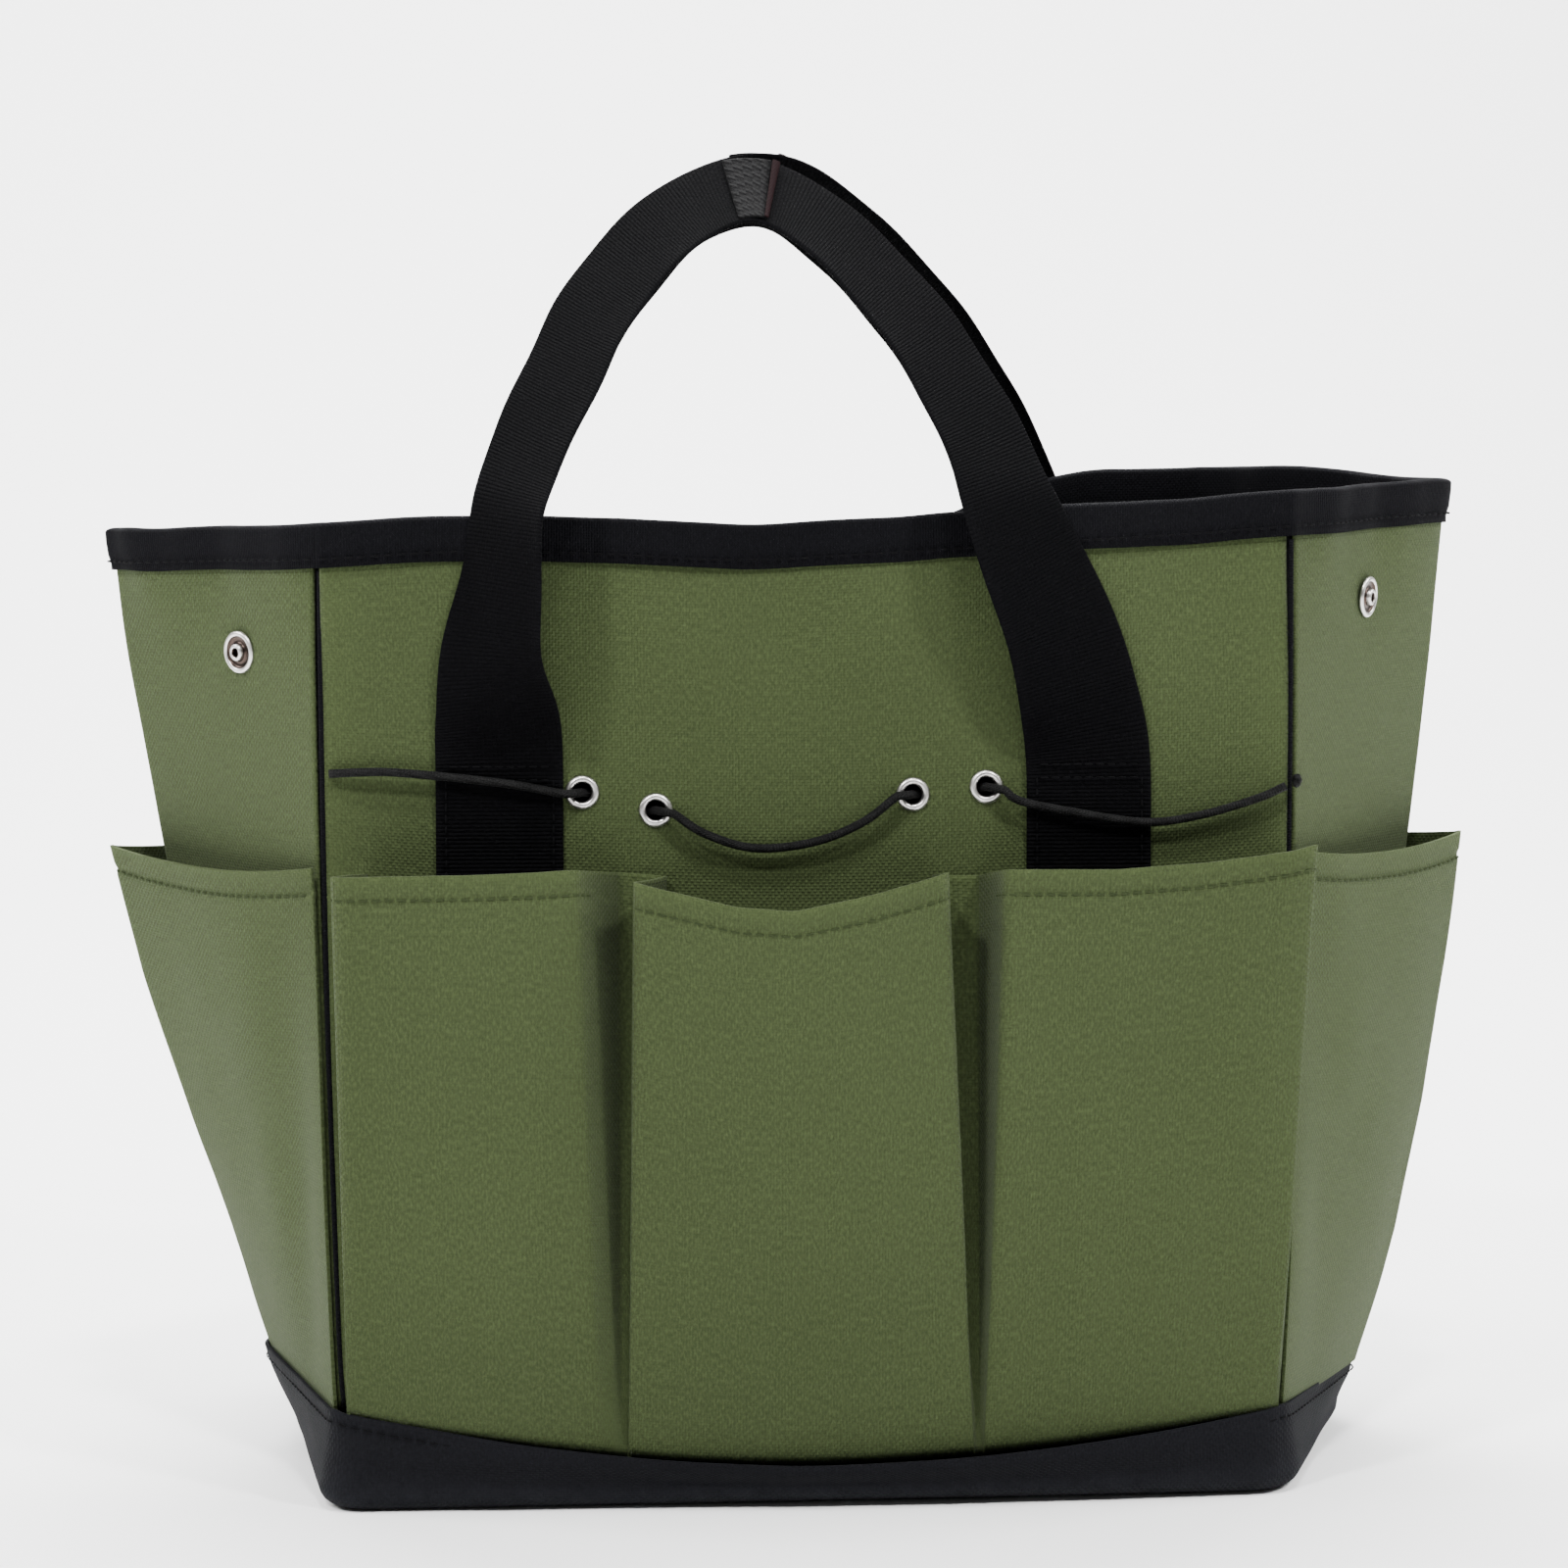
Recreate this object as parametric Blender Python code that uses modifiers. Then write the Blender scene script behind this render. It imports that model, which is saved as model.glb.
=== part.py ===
"""Garden tool bag: an open-topped cloth tote with outside pockets, two webbing handles,
an elastic cord laced through four eyelets, and snap fasteners on the side gussets.

Metres. +Z is up, -Y is the front, +X is the viewer's right, and the origin is the centre
of the flat base. Both handles swing about X axes where their sewn ends finish.
"""

import math

import bmesh
import bpy
from mathutils import Matrix, Vector

# Body: walls from the base up to the rim, with a folded gusset at each end
RIM_Z = 0.297
BASE_HALF_X = 0.1405
RIM_HALF_X = 0.1470
BASE_HALF_Y = 0.095
RIM_HALF_Y = 0.075

# How far out each gusset's crease stands at the base, half way up and at the rim: the bag
# leans to the right as it stands
LEFT_CREASE = (0.156, 0.189, 0.217)
RIGHT_CREASE = (0.171, 0.196, 0.216)

# Cloth layers, as distances outward from the wall surface
PANEL_T = 0.0012
LINING_T = 0.0006
LINING_OUT = -0.0016
POCKET_T = 0.0010
GAP = 0.0003
SEAM_GAP = 0.0015
MERGE = 0.00001

# Base tray, its stiffener board and the seam where its cloth meets the walls
TRAY_T = 0.0014
TRAY_ROUND = 0.006
SEAM_MID_Z = 0.0135
SEAM_CORNER_Z = 0.030
SEAM_CREASE_Z = 0.045
BOARD_T = 0.003
BOARD_HALF = (0.136, 0.088)
BOARD_ROUND = 0.008

# Rim binding folded over the top edges
BINDING_DROP = 0.012
BINDING_T = 0.0012
BINDING_OUTER = 0.0010
BINDING_INNER = -0.0036
BINDING_LIFT = 0.0011
PIPING_R = 0.0010

# Outside pockets
MOUTH_Z = 0.191
STITCH_LINES = (-0.056, 0.0515)
POCKET_NEAR = 0.0019
POCKET_FOOT = 0.0028
POCKET_DEEP = 0.034
STEEP_RUN = 0.003
PLEAT_RUN = 0.012
STITCH_LAND = 0.0015
FOLD_RUN = 0.006
STRIP_EDGE_Z = 0.1
STRIP_INSET = 0.0005
SIDE_FOOT = 0.004
SIDE_MOUTH = 0.0138
SIDE_RIDGE = 0.8
SIDE_ENDS = 0.0375
LEFT_BELLY = -0.0015
RIGHT_BELLY = 0.0080

# Webbing handles
STRAP_WIDTH = 0.038
STRAP_T = 0.0016
STRAP_OUT = 0.0012
STRAP_END_LOW = 0.150
HINGE_Z = 0.2270
END_BELOW = 0.0014
LOOP_ABOVE = 0.0007
UPRIGHT_RUN = (-0.004, 0.0, 0.005)

# Centre of the webbing, left foot to right foot: x, distance from the mid-plane, z and
# the twist in degrees that brings its inner edge forward. Where the distance is None the
# webbing's outer edge lies just off the wall.
FRONT_LOOP = (
    (-0.0946, None, 0.2410, 22), (-0.0966, None, 0.2541, 38), (-0.0946, None, 0.2715, 48),
    (-0.0919, None, 0.2874, 55), (-0.0907, None, 0.3003, 55), (-0.0885, 0.0860, 0.3103, 55),
    (-0.0747, 0.0670, 0.3378, 54), (-0.0602, 0.0480, 0.3618, 54), (-0.0438, 0.0330, 0.3824, 55),
    (-0.0296, 0.0235, 0.3938, 56), (-0.0140, 0.0185, 0.3990, 56), (0.0001, 0.0225, 0.3952, 55),
    (0.0131, 0.0310, 0.3843, 54), (0.0324, 0.0480, 0.3623, 51), (0.0465, 0.0660, 0.3383, 47),
    (0.0552, 0.0790, 0.3177, 42), (0.0590, None, 0.3032, 36), (0.0644, None, 0.2872, 30),
    (0.0726, None, 0.2710, 24), (0.0780, None, 0.2533, 16), (0.0812, None, 0.2400, 9),
)
FRONT_FEET = (-0.0935, 0.0843)
BACK_LOOP = (
    (-0.0893, None, 0.2400, 16), (-0.0895, None, 0.2541, 34), (-0.0890, None, 0.2700, 44),
    (-0.0884, None, 0.2860, 52), (-0.0872, None, 0.3000, 54), (-0.0850, 0.0860, 0.3079, 54),
    (-0.0704, 0.0670, 0.3391, 54), (-0.0561, 0.0480, 0.3645, 54), (-0.0401, 0.0330, 0.3853, 55),
    (-0.0265, 0.0235, 0.3963, 56), (-0.0110, 0.0185, 0.4011, 56), (0.0042, 0.0225, 0.3977, 55),
    (0.0193, 0.0310, 0.3872, 54), (0.0437, 0.0480, 0.3650, 51), (0.0639, 0.0660, 0.3395, 47),
    (0.0773, 0.0790, 0.3165, 42), (0.0845, None, 0.3010, 36), (0.0880, None, 0.2860, 30),
    (0.0890, None, 0.2700, 22), (0.0890, None, 0.2541, 14), (0.0890, None, 0.2400, 8),
)
BACK_FEET = (-0.0890, 0.0890)
STRAP_CLEAR = 0.0018
STATION_STEP = 0.011

# Eyelets on the front panel: x and z of each hole
EYELETS = ((-0.0688, 0.2155), (-0.0468, 0.2101), (0.0309, 0.2144), (0.0532, 0.2166))
EYELET_HOLE_R = 0.0029
EYELET_R = 0.0052
EYELET_CUT_R = 0.0034

# Elastic cord: x, outward distance and z; DIVE is its way through an eyelet
CORD_R = 0.0013
DIVE = ((-0.0052, 0.0036), (-0.0030, 0.0029), (-0.0012, 0.0013), (0.0, -0.0006),
        (0.0012, -0.0025), (0.0030, -0.0041), (0.0052, -0.0047))
CORD_LEFT = ((-0.1440, 0.0020, 0.2215), (-0.1360, 0.0034, 0.2219), (-0.1254, 0.0040, 0.2219),
             (-0.1051, 0.0040, 0.2200), (-0.0880, 0.0040, 0.2178))
CORD_SAG = ((-0.0321, 0.0042, 0.2030), (-0.0173, 0.0042, 0.1987), (0.0004, 0.0042, 0.2004),
            (0.0151, 0.0042, 0.2062))
CORD_RIGHT = ((0.0626, 0.0042, 0.2125), (0.0778, 0.0042, 0.2092), (0.1008, 0.0042, 0.2058),
              (0.1179, 0.0042, 0.2078), (0.1353, 0.0040, 0.2127), (0.1442, 0.0034, 0.2164))
DIVE_RISE = {"inward": -0.0004, "outward": 0.0008}
CORD_STEP = 0.0052
KNOT = (0.1477, 0.0034, 0.2182)
KNOT_R = 0.0024

# Room the front lining leaves behind each pair of eyelets
BUMP_DEPTH = 0.0052
BUMP_FLAT = (0.006, 0.010)
BUMP_FADE = 0.030
BUMP_STEEP = 1.3

# Snap fasteners, two on each gusset: share of the way from seam to crease, and z
SNAP_PLACES = {"left": (0.39, 0.256), "right": (0.50, 0.2720)}
SNAP_R = 0.0065
SNAP_CUT_R = 0.0018
SNAP_POST_R = 0.0013

LOOKS = {  # base colour, roughness, metallic
    "green_canvas": ((0.100, 0.130, 0.050), 0.90, 0.0),
    "black_canvas": ((0.013, 0.013, 0.016), 0.85, 0.0),
    "black_lining": ((0.006, 0.006, 0.007), 0.70, 0.0),
    "black_binding": ((0.011, 0.011, 0.013), 0.80, 0.0),
    "black_webbing": ((0.008, 0.008, 0.009), 0.75, 0.0),
    "black_cord": ((0.006, 0.006, 0.006), 0.80, 0.0),
    "grey_board": ((0.120, 0.120, 0.120), 0.60, 0.0),
    "silver_metal": ((0.700, 0.700, 0.690), 0.28, 1.0),
}
TURN = Matrix.Rotation(math.pi, 4, "Z")


def clear_scene():
    for item in list(bpy.data.objects):
        bpy.data.objects.remove(item, do_unlink=True)


def new_collection(name):
    collection = bpy.data.collections.new(name)
    bpy.context.scene.collection.children.link(collection)
    return collection


def material_for(node, look):
    colour, roughness, metallic = LOOKS[look]
    material = bpy.data.materials.new(node + "_" + look)
    material.use_nodes = True
    shader = material.node_tree.nodes["Principled BSDF"]
    shader.inputs["Base Color"].default_value = (*colour, 1.0)
    shader.inputs["Roughness"].default_value = roughness
    shader.inputs["Metallic"].default_value = metallic
    return material


def add_object(name, data, look=None, collection=None):
    item = bpy.data.objects.new(name, data)
    (collection or PARTS).objects.link(item)
    if look:
        data.materials.append(material_for(name, look))
    return item


def mix(low, high, share):
    return low + (high - low) * share


# The wall surface: six corners at each height, joined by six edges
def half_width(z):
    return BASE_HALF_X + (RIM_HALF_X - BASE_HALF_X) * (1 - (1 - z / RIM_Z) ** 2)


def half_depth(z):
    return mix(BASE_HALF_Y, RIM_HALF_Y, z / RIM_Z)


def crease_x(crease, z):
    """The parabola through a crease's three distances."""
    base, middle, rim = crease
    height = z / RIM_Z
    curve = 2 * (base + rim - 2 * middle)
    return base + (rim - base - curve) * height + curve * height ** 2


def corners(z):
    x, y = half_width(z), half_depth(z)
    left, right = crease_x(LEFT_CREASE, z), crease_x(RIGHT_CREASE, z)
    plan = ((-x, -y), (x, -y), (right, 0), (x, y), (-x, y), (-left, 0))
    return [Vector(point) for point in plan]


def spread(plan, out):
    """Move each edge of a closed plan outward and meet them again at the corners."""
    count = len(plan)
    normals = []
    for index in range(count):
        edge = (plan[(index + 1) % count] - plan[index]).normalized()
        normals.append(Vector((edge.y, -edge.x)))
    moved = []
    for index in range(count):
        before, after = normals[index - 1], normals[index]
        moved.append(plan[index] + (before + after) * out / (1 + before.dot(after)))
    return moved


def wall(place, z, out=0.0):
    """A point on the wall. Edges 0 to 5 run front, right gusset, back, left gusset."""
    ring = spread(corners(z), out)
    index = int(math.floor(place)) % 6
    point = ring[index].lerp(ring[(index + 1) % 6], place - math.floor(place))
    return Vector((point.x, point.y, z))


def front_place(x, z):
    return (x + half_width(z)) / (2 * half_width(z))


def front(x, z, out=0.0):
    """A point in front of the front wall, out along its outward normal."""
    lean = math.atan((BASE_HALF_Y - RIM_HALF_Y) / RIM_Z)
    return Vector((x, -half_depth(z) - out * math.cos(lean), z + out * math.sin(lean)))


def seam_z(place):
    """Height of the seam between base tray and walls."""
    edge = int(math.floor(place)) % 6
    share = place - math.floor(place)
    if edge in (0, 3):
        return SEAM_MID_Z + (SEAM_CORNER_Z - SEAM_MID_Z) * (2 * share - 1) ** 2
    if edge in (2, 5):
        share = 1 - share
    return mix(SEAM_CORNER_Z, SEAM_CREASE_Z, share)


def surface_frame(place, z, out=0.0):
    """Axes at a wall point: X along the wall, Z along its outward normal."""
    step = 0.001
    along = (wall(place + step, z) - wall(place - step, z)).normalized()
    up = wall(place, z + step) - wall(place, z - step)
    normal = along.cross(up).normalized()
    axes = Matrix((along, normal.cross(along), normal)).transposed().to_4x4()
    return Matrix.Translation(wall(place, z, out)) @ axes


def steps(low, high, count):
    return [mix(low, high, index / count) for index in range(count + 1)]


def smooth_path(guides, spacing):
    """Points along a Catmull-Rom curve from the second guide to the last but one."""
    path = []
    for index in range(1, len(guides) - 2):
        before, start, end, after = guides[index - 1:index + 3]
        pieces = max(1, round((end - start).xyz.length / spacing))
        for piece in range(pieces):
            t = piece / pieces
            path.append(0.5 * (2 * start + (end - before) * t
                               + (2 * before - 5 * start + 4 * end - after) * t ** 2
                               + (3 * start - before - 3 * end + after) * t ** 3))
    return path + [guides[-2]]


def run_through(points, spacing):
    """The same curve, taken through the first and last points as well."""
    ends = [points[0] * 2 - points[1]], [points[-1] * 2 - points[-2]]
    return smooth_path(ends[0] + points + ends[1], spacing)


# Tools that make one object each
def thicken(item, thickness, offset=-1.0):
    solidify = item.modifiers.new("Thickness", "SOLIDIFY")
    solidify.thickness = thickness
    solidify.offset = offset
    solidify.use_even_offset = True


def sheet_mesh(name, columns, rows, shape):
    """A grid laid onto shape(column, row); ends that meet are joined."""
    mesh = bpy.data.meshes.new(name)
    cloth = bmesh.new()
    last_column, last_row = len(columns) - 1, len(rows) - 1
    bmesh.ops.create_grid(cloth, x_segments=last_column, y_segments=last_row, size=1)
    for vert in cloth.verts:
        column = columns[round((vert.co.x + 1) / 2 * last_column)]
        row = rows[round((vert.co.y + 1) / 2 * last_row)]
        vert.co = shape(column, row)
    bmesh.ops.remove_doubles(cloth, verts=cloth.verts, dist=MERGE)
    cloth.to_mesh(mesh)
    cloth.free()
    return mesh


def sheet(name, look, columns, rows, shape, thickness, offset=-1.0):
    item = add_object(name, sheet_mesh(name, columns, rows, shape), look)
    thicken(item, thickness, offset)
    return item


def turned(name, look, profile, frame, segments=20):
    """Spin a closed profile of (radius, height) about the frame's Z axis."""
    mesh = bpy.data.meshes.new(name)
    outline = bmesh.new()
    ring = [outline.verts.new((radius, 0, height)) for radius, height in profile]
    for index, vert in enumerate(ring):
        outline.edges.new((vert, ring[(index + 1) % len(ring)]))
    outline.to_mesh(mesh)
    outline.free()
    item = add_object(name, mesh, look)
    item.matrix_world = frame
    screw = item.modifiers.new("Turn", "SCREW")
    screw.steps = segments
    screw.render_steps = segments
    screw.use_merge_vertices = True
    screw.merge_threshold = MERGE
    return item


def button(name, look, profile, frame, segments=20):
    """Like turned, for a profile that starts and ends on the axis, so it has no hole."""
    item = turned(name, look, profile, frame, segments)
    mesh = item.data
    shape = bmesh.new()
    shape.from_mesh(mesh)
    shape.edges.ensure_lookup_table()
    on_axis = [edge for edge in shape.edges if all(v.co.x < MERGE for v in edge.verts)]
    bmesh.ops.delete(shape, geom=on_axis, context="EDGES")
    shape.to_mesh(mesh)
    shape.free()
    return item


def tube(name, look, points, radius, resolution=2):
    curve = bpy.data.curves.new(name, "CURVE")
    curve.dimensions = "3D"
    curve.bevel_depth = radius
    curve.bevel_resolution = resolution
    curve.use_fill_caps = True
    spline = curve.splines.new("POLY")
    spline.points.add(len(points) - 1)
    for target, point in zip(spline.points, points):
        target.co = (*point, 1.0)
    return add_object(name, curve, look)


def drill(item, name, frame, radius, depth=0.02):
    """Cut a round hole along the frame's Z axis."""
    mesh = bpy.data.meshes.new(name)
    shape = bmesh.new()
    bmesh.ops.create_cone(shape, cap_ends=True, segments=16, radius1=radius, radius2=radius,
                          depth=depth)
    shape.to_mesh(mesh)
    shape.free()
    cutter = add_object(name, mesh, collection=CUTTERS)
    cutter.matrix_world = frame
    cutter.hide_render = True
    cutter.display_type = "WIRE"
    if not any(modifier.type == "BOOLEAN" for modifier in item.modifiers):
        item.modifiers.new("Flat faces", "TRIANGULATE")
    cut = item.modifiers.new(name, "BOOLEAN")
    cut.operation = "DIFFERENCE"
    cut.object = cutter


# Body
def wall_ends(first, last):
    """Share of the outer edges that the seam allowance takes at each end."""
    ring = corners(RIM_Z)
    start = SEAM_GAP / (ring[first + 1] - ring[first]).length
    end = SEAM_GAP / (ring[(last + 1) % 6] - ring[last]).length
    return first + start, last + 1 - end


def wall_sheet(name, look, first, last, columns, out, thickness, bump=None):
    low, high = wall_ends(first, last)

    def shape(place, share):
        z = mix(seam_z(place) + GAP, RIM_Z, share)
        depth = out - (bump(place, z) if bump else 0.0)
        return wall(place, z, depth)
    return sheet(name, look, steps(low, high, columns), steps(0, 1, 8), shape, thickness)


def cord_bump(place, z):
    """The front lining stands inward where the cord runs behind the panel."""
    x = (place - 0.5) * 2 * half_width(z)
    room = 0.0
    for (left_x, left_z), (right_x, right_z) in (EYELETS[0:2], EYELETS[2:4]):
        half_x = (right_x - left_x) / 2 + BUMP_FLAT[0]
        across = max(0.0, abs(x - (left_x + right_x) / 2) - half_x)
        along = max(0.0, abs(z - (left_z + right_z) / 2) - BUMP_FLAT[1])
        room = max(room, 1 - math.hypot(across, along) / BUMP_FADE)
    return BUMP_DEPTH * min(1.0, room * BUMP_STEEP)


def build_walls():
    front_panel = wall_sheet("front_panel", "green_canvas", 0, 0, 10, 0, PANEL_T)
    for number, (x, z) in enumerate(EYELETS, 1):
        drill(front_panel, "eyelet_hole_%d" % number,
              surface_frame(front_place(x, z), z), EYELET_CUT_R)
    wall_sheet("back_panel", "green_canvas", 3, 3, 10, 0, PANEL_T)
    right = wall_sheet("right_gusset", "green_canvas", 1, 2, 12, 0, PANEL_T)
    left = wall_sheet("left_gusset", "green_canvas", 4, 5, 12, 0, PANEL_T)
    lining_right = wall_sheet("right_gusset_lining", "black_lining", 1, 2, 12, LINING_OUT,
                              LINING_T)
    lining_left = wall_sheet("left_gusset_lining", "black_lining", 4, 5, 12, LINING_OUT,
                             LINING_T)
    wall_sheet("front_lining", "black_lining", 0, 0, 24, LINING_OUT, LINING_T, cord_bump)
    wall_sheet("back_lining", "black_lining", 3, 3, 10, LINING_OUT, LINING_T)
    for name, (place, z) in snap_sites().items():
        frame = surface_frame(place, z)
        for cloth in ((right, lining_right) if "right" in name else (left, lining_left)):
            drill(cloth, name + "_hole_" + cloth.name, frame, SNAP_CUT_R)


def ring_places():
    """Places all the way round the wall, with the first one repeated at the end."""
    places = []
    for edge, count in enumerate((8, 3, 3, 8, 3, 3)):
        places += steps(edge, edge + 1, count)[:-1]
    return places + [6.0]


def build_base():
    """Black tray: rounded floor edge and low walls, one thickness of cloth."""
    rows = [(angle, 0.0) for angle in steps(0, math.pi / 2, 3)] + [(math.pi / 2, 1.0)]

    def shape(place, row):
        angle, rise = row
        z = TRAY_ROUND * (1 - math.cos(angle))
        out = TRAY_ROUND * (math.sin(angle) - 1)
        return wall(place, mix(z, seam_z(place) - GAP, rise), out)
    mesh = sheet_mesh("base_tray", ring_places(), rows, shape)
    tray = bmesh.new()
    tray.from_mesh(mesh)
    floor = [edge for edge in tray.edges
             if edge.is_boundary and all(vert.co.z < MERGE for vert in edge.verts)]
    bmesh.ops.contextual_create(tray, geom=floor)
    bmesh.ops.recalc_face_normals(tray, faces=tray.faces)
    if min(tray.faces, key=lambda face: face.calc_center_median().z).normal.z > 0:
        bmesh.ops.reverse_faces(tray, faces=tray.faces)
    tray.to_mesh(mesh)
    tray.free()
    thicken(add_object("base_tray", mesh, "black_canvas"), TRAY_T)


def flat_plate(name, look, half, low, thickness, corner):
    """A rectangle with rounded corners, as a filled outline with thickness."""
    curve = bpy.data.curves.new(name, "CURVE")
    curve.dimensions = "2D"
    curve.fill_mode = "BOTH"
    curve.extrude = thickness / 2
    points = []
    for quarter in range(4):
        side_x = 1 if quarter in (0, 3) else -1
        side_y = 1 if quarter in (0, 1) else -1
        centre = Vector((side_x * (half[0] - corner), side_y * (half[1] - corner)))
        for angle in steps(quarter * math.pi / 2, (quarter + 1) * math.pi / 2, 4):
            points.append(centre + corner * Vector((math.cos(angle), math.sin(angle))))
    spline = curve.splines.new("POLY")
    spline.points.add(len(points) - 1)
    spline.use_cyclic_u = True
    for target, point in zip(spline.points, points):
        target.co = (*point, 0.0, 1.0)
    item = add_object(name, curve, look)
    item.location.z = low + thickness / 2


def build_floor():
    board_low = TRAY_T + GAP
    flat_plate("base_board", "grey_board", BOARD_HALF, board_low, BOARD_T, BOARD_ROUND)
    flat_plate("base_lining", "black_lining", BOARD_HALF, board_low + BOARD_T + GAP, LINING_T,
               BOARD_ROUND)


def build_binding():
    """A channel of cloth folded over the rim all the way round."""
    low, high, half = RIM_Z - BINDING_DROP, RIM_Z + BINDING_LIFT, BINDING_T / 2
    section = ((BINDING_OUTER + half, low), (BINDING_OUTER + half, high + half),
               (BINDING_INNER - half, high + half), (BINDING_INNER - half, low),
               (BINDING_INNER + half, low), (BINDING_INNER + half, high - half),
               (BINDING_OUTER - half, high - half), (BINDING_OUTER - half, low))

    def shape(place, row):
        out, z = row
        point = wall(place, min(z, RIM_Z), out)
        point.z = z
        return point
    mesh = sheet_mesh("rim_binding", ring_places(), section + section[:1], shape)
    add_object("rim_binding", mesh, "black_binding")


def build_piping():
    names = ("front_left", "front_right", None, "back_right", "back_left", None)
    for corner, name in enumerate(names):
        if name:
            low, high = SEAM_CORNER_Z + 0.002, RIM_Z - BINDING_DROP - 0.0015
            points = [wall(corner, z) for z in steps(low, high, 6)]
            tube(name + "_piping", "black_binding", points, PIPING_R, 1)


# Pockets
def lobe(left, right, left_run, right_run):
    """Columns of one pocket between its stitched edges: x and the share of its depth."""
    left += STITCH_LAND
    right -= STITCH_LAND
    return ((left, 0.0), (left + 0.4 * left_run, 0.5), (left + left_run, 0.92),
            (left + left_run + FOLD_RUN, 1.0), ((left + right) / 2, 1.0),
            (right - right_run - FOLD_RUN, 1.0), (right - right_run, 0.92),
            (right - 0.4 * right_run, 0.4), (right, 0.0))


def pocket_strip(name, matrix):
    """One strip of cloth, sewn down at its ends and along two lines, makes three pockets."""
    widest = half_width(STRIP_EDGE_Z)
    edge = widest - SEAM_GAP - STRIP_INSET
    left_line, right_line = STITCH_LINES
    columns = (lobe(-edge, left_line, STEEP_RUN, PLEAT_RUN)
               + lobe(left_line, right_line, STEEP_RUN, PLEAT_RUN)
               + lobe(right_line, edge, STEEP_RUN, STEEP_RUN))

    def shape(column, share):
        x, depth = column
        place = 0.5 + x / (2 * widest)
        low = seam_z(place) + GAP
        z = mix(low, MOUTH_Z, share)
        full = mix(POCKET_FOOT, POCKET_DEEP, share)
        return matrix @ wall(place, z, mix(POCKET_NEAR, full, depth))
    sheet(name, "green_canvas", columns, steps(0, 1, 5), shape, POCKET_T)


def side_pocket(name, first, belly):
    """A patch over a gusset whose crease stands out from it towards the mouth."""
    crease = first + 1

    def shape(place, share):
        z = mix(seam_z(place) + GAP, MOUTH_Z, share)
        ridge = 1 - abs(place - crease)
        full = mix(SIDE_FOOT, SIDE_MOUTH, share) + belly * math.sin(math.pi * share)
        return wall(place, z, mix(POCKET_NEAR, full, ridge ** SIDE_RIDGE))
    places = steps(first + SIDE_ENDS, first + 2 - SIDE_ENDS, 12)
    sheet(name, "green_canvas", places, steps(0, 1, 5), shape, POCKET_T)


def build_pockets():
    still = Matrix.Identity(4)
    pocket_strip("front_pocket_strip", still)
    pocket_strip("back_pocket_strip", TURN)
    side_pocket("right_side_pocket", 1, RIGHT_BELLY)
    side_pocket("left_side_pocket", 4, LEFT_BELLY)


# Handles
def loop_stations(loop, feet, side):
    """Centre points with their twist, from one foot to the other."""
    foot_z = HINGE_Z + LOOP_ABOVE
    foot_away = half_depth(foot_z) + STRAP_OUT
    upright = [foot_z + run for run in UPRIGHT_RUN]
    rows = [(feet[0], foot_away, z, 0) for z in upright]
    for x, away, z, twist in loop:
        if away is None:
            edge = math.sin(math.radians(twist)) * STRAP_WIDTH / 2
            away = half_depth(z) + STRAP_OUT + STRAP_CLEAR + edge
        rows.append((x, away, z, twist))
    rows += [(feet[1], foot_away, z, 0) for z in reversed(upright)]
    return [Vector((x, side * away, z, twist)) for x, away, z, twist in rows]


def handle_loop(name, loop, feet, side):
    stations = smooth_path(loop_stations(loop, feet, side), STATION_STEP)
    last = len(stations) - 1
    swing = bpy.data.objects.new(name + "_hinge", None)
    swing.location = (0, side * (half_depth(HINGE_Z) + STRAP_OUT), HINGE_Z)
    PARTS.objects.link(swing)
    centres = [station.xyz for station in stations]

    def shape(index, across):
        ahead = centres[min(index + 1, last)] - centres[max(index - 1, 0)]
        ahead.y = 0
        ahead.normalize()
        inward = Vector((ahead.z, 0, -ahead.x))
        twist = math.radians(stations[index].w)
        width = inward * math.cos(twist) + Vector((0, side, 0)) * math.sin(twist)
        return centres[index] + width * across * STRAP_WIDTH / 2 - swing.location
    item = sheet(name, "black_webbing", list(range(last + 1)), (-1, -0.33, 0.33, 1), shape,
                 STRAP_T, 0.0)
    item.parent = swing


def handle_end(name, x, side):
    """The sewn end of a handle, flat on its panel and running down into a pocket."""
    def shape(across, z):
        return Vector((x + across * STRAP_WIDTH / 2, side * (half_depth(z) + STRAP_OUT), z))
    sheet(name, "black_webbing", (-1, 1), steps(STRAP_END_LOW, HINGE_Z - END_BELOW, 4), shape,
          STRAP_T, 0.0)


def build_handles():
    for name, loop, feet, side in (("front_handle", FRONT_LOOP, FRONT_FEET, -1),
                                   ("back_handle", BACK_LOOP, BACK_FEET, 1)):
        handle_loop(name, loop, feet, side)
        handle_end(name + "_left_end", feet[0], side)
        handle_end(name + "_right_end", feet[1], side)


# Hardware
def mm(*profile):
    return [(radius / 1000, height / 1000) for radius, height in profile]


def build_eyelets():
    hole = EYELET_HOLE_R * 1000
    edge = EYELET_R * 1000
    flange = mm((hole, 0.5), (hole + 0.4, 0.95), (hole + 1.1, 1.1), (edge - 0.4, 0.8),
                (edge, 0.3), (hole + 0.3, 0.3), (hole + 0.25, -1.9), (hole, -1.9))
    washer = mm((hole + 0.6, -1.5), (edge - 0.3, -1.5), (edge - 0.4, -1.9), (hole + 0.6, -1.9))
    for number, (x, z) in enumerate(EYELETS, 1):
        frame = surface_frame(front_place(x, z), z)
        turned("eyelet_%d" % number, "silver_metal", flange, frame)
        turned("eyelet_washer_%d" % number, "silver_metal", washer, frame)


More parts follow.
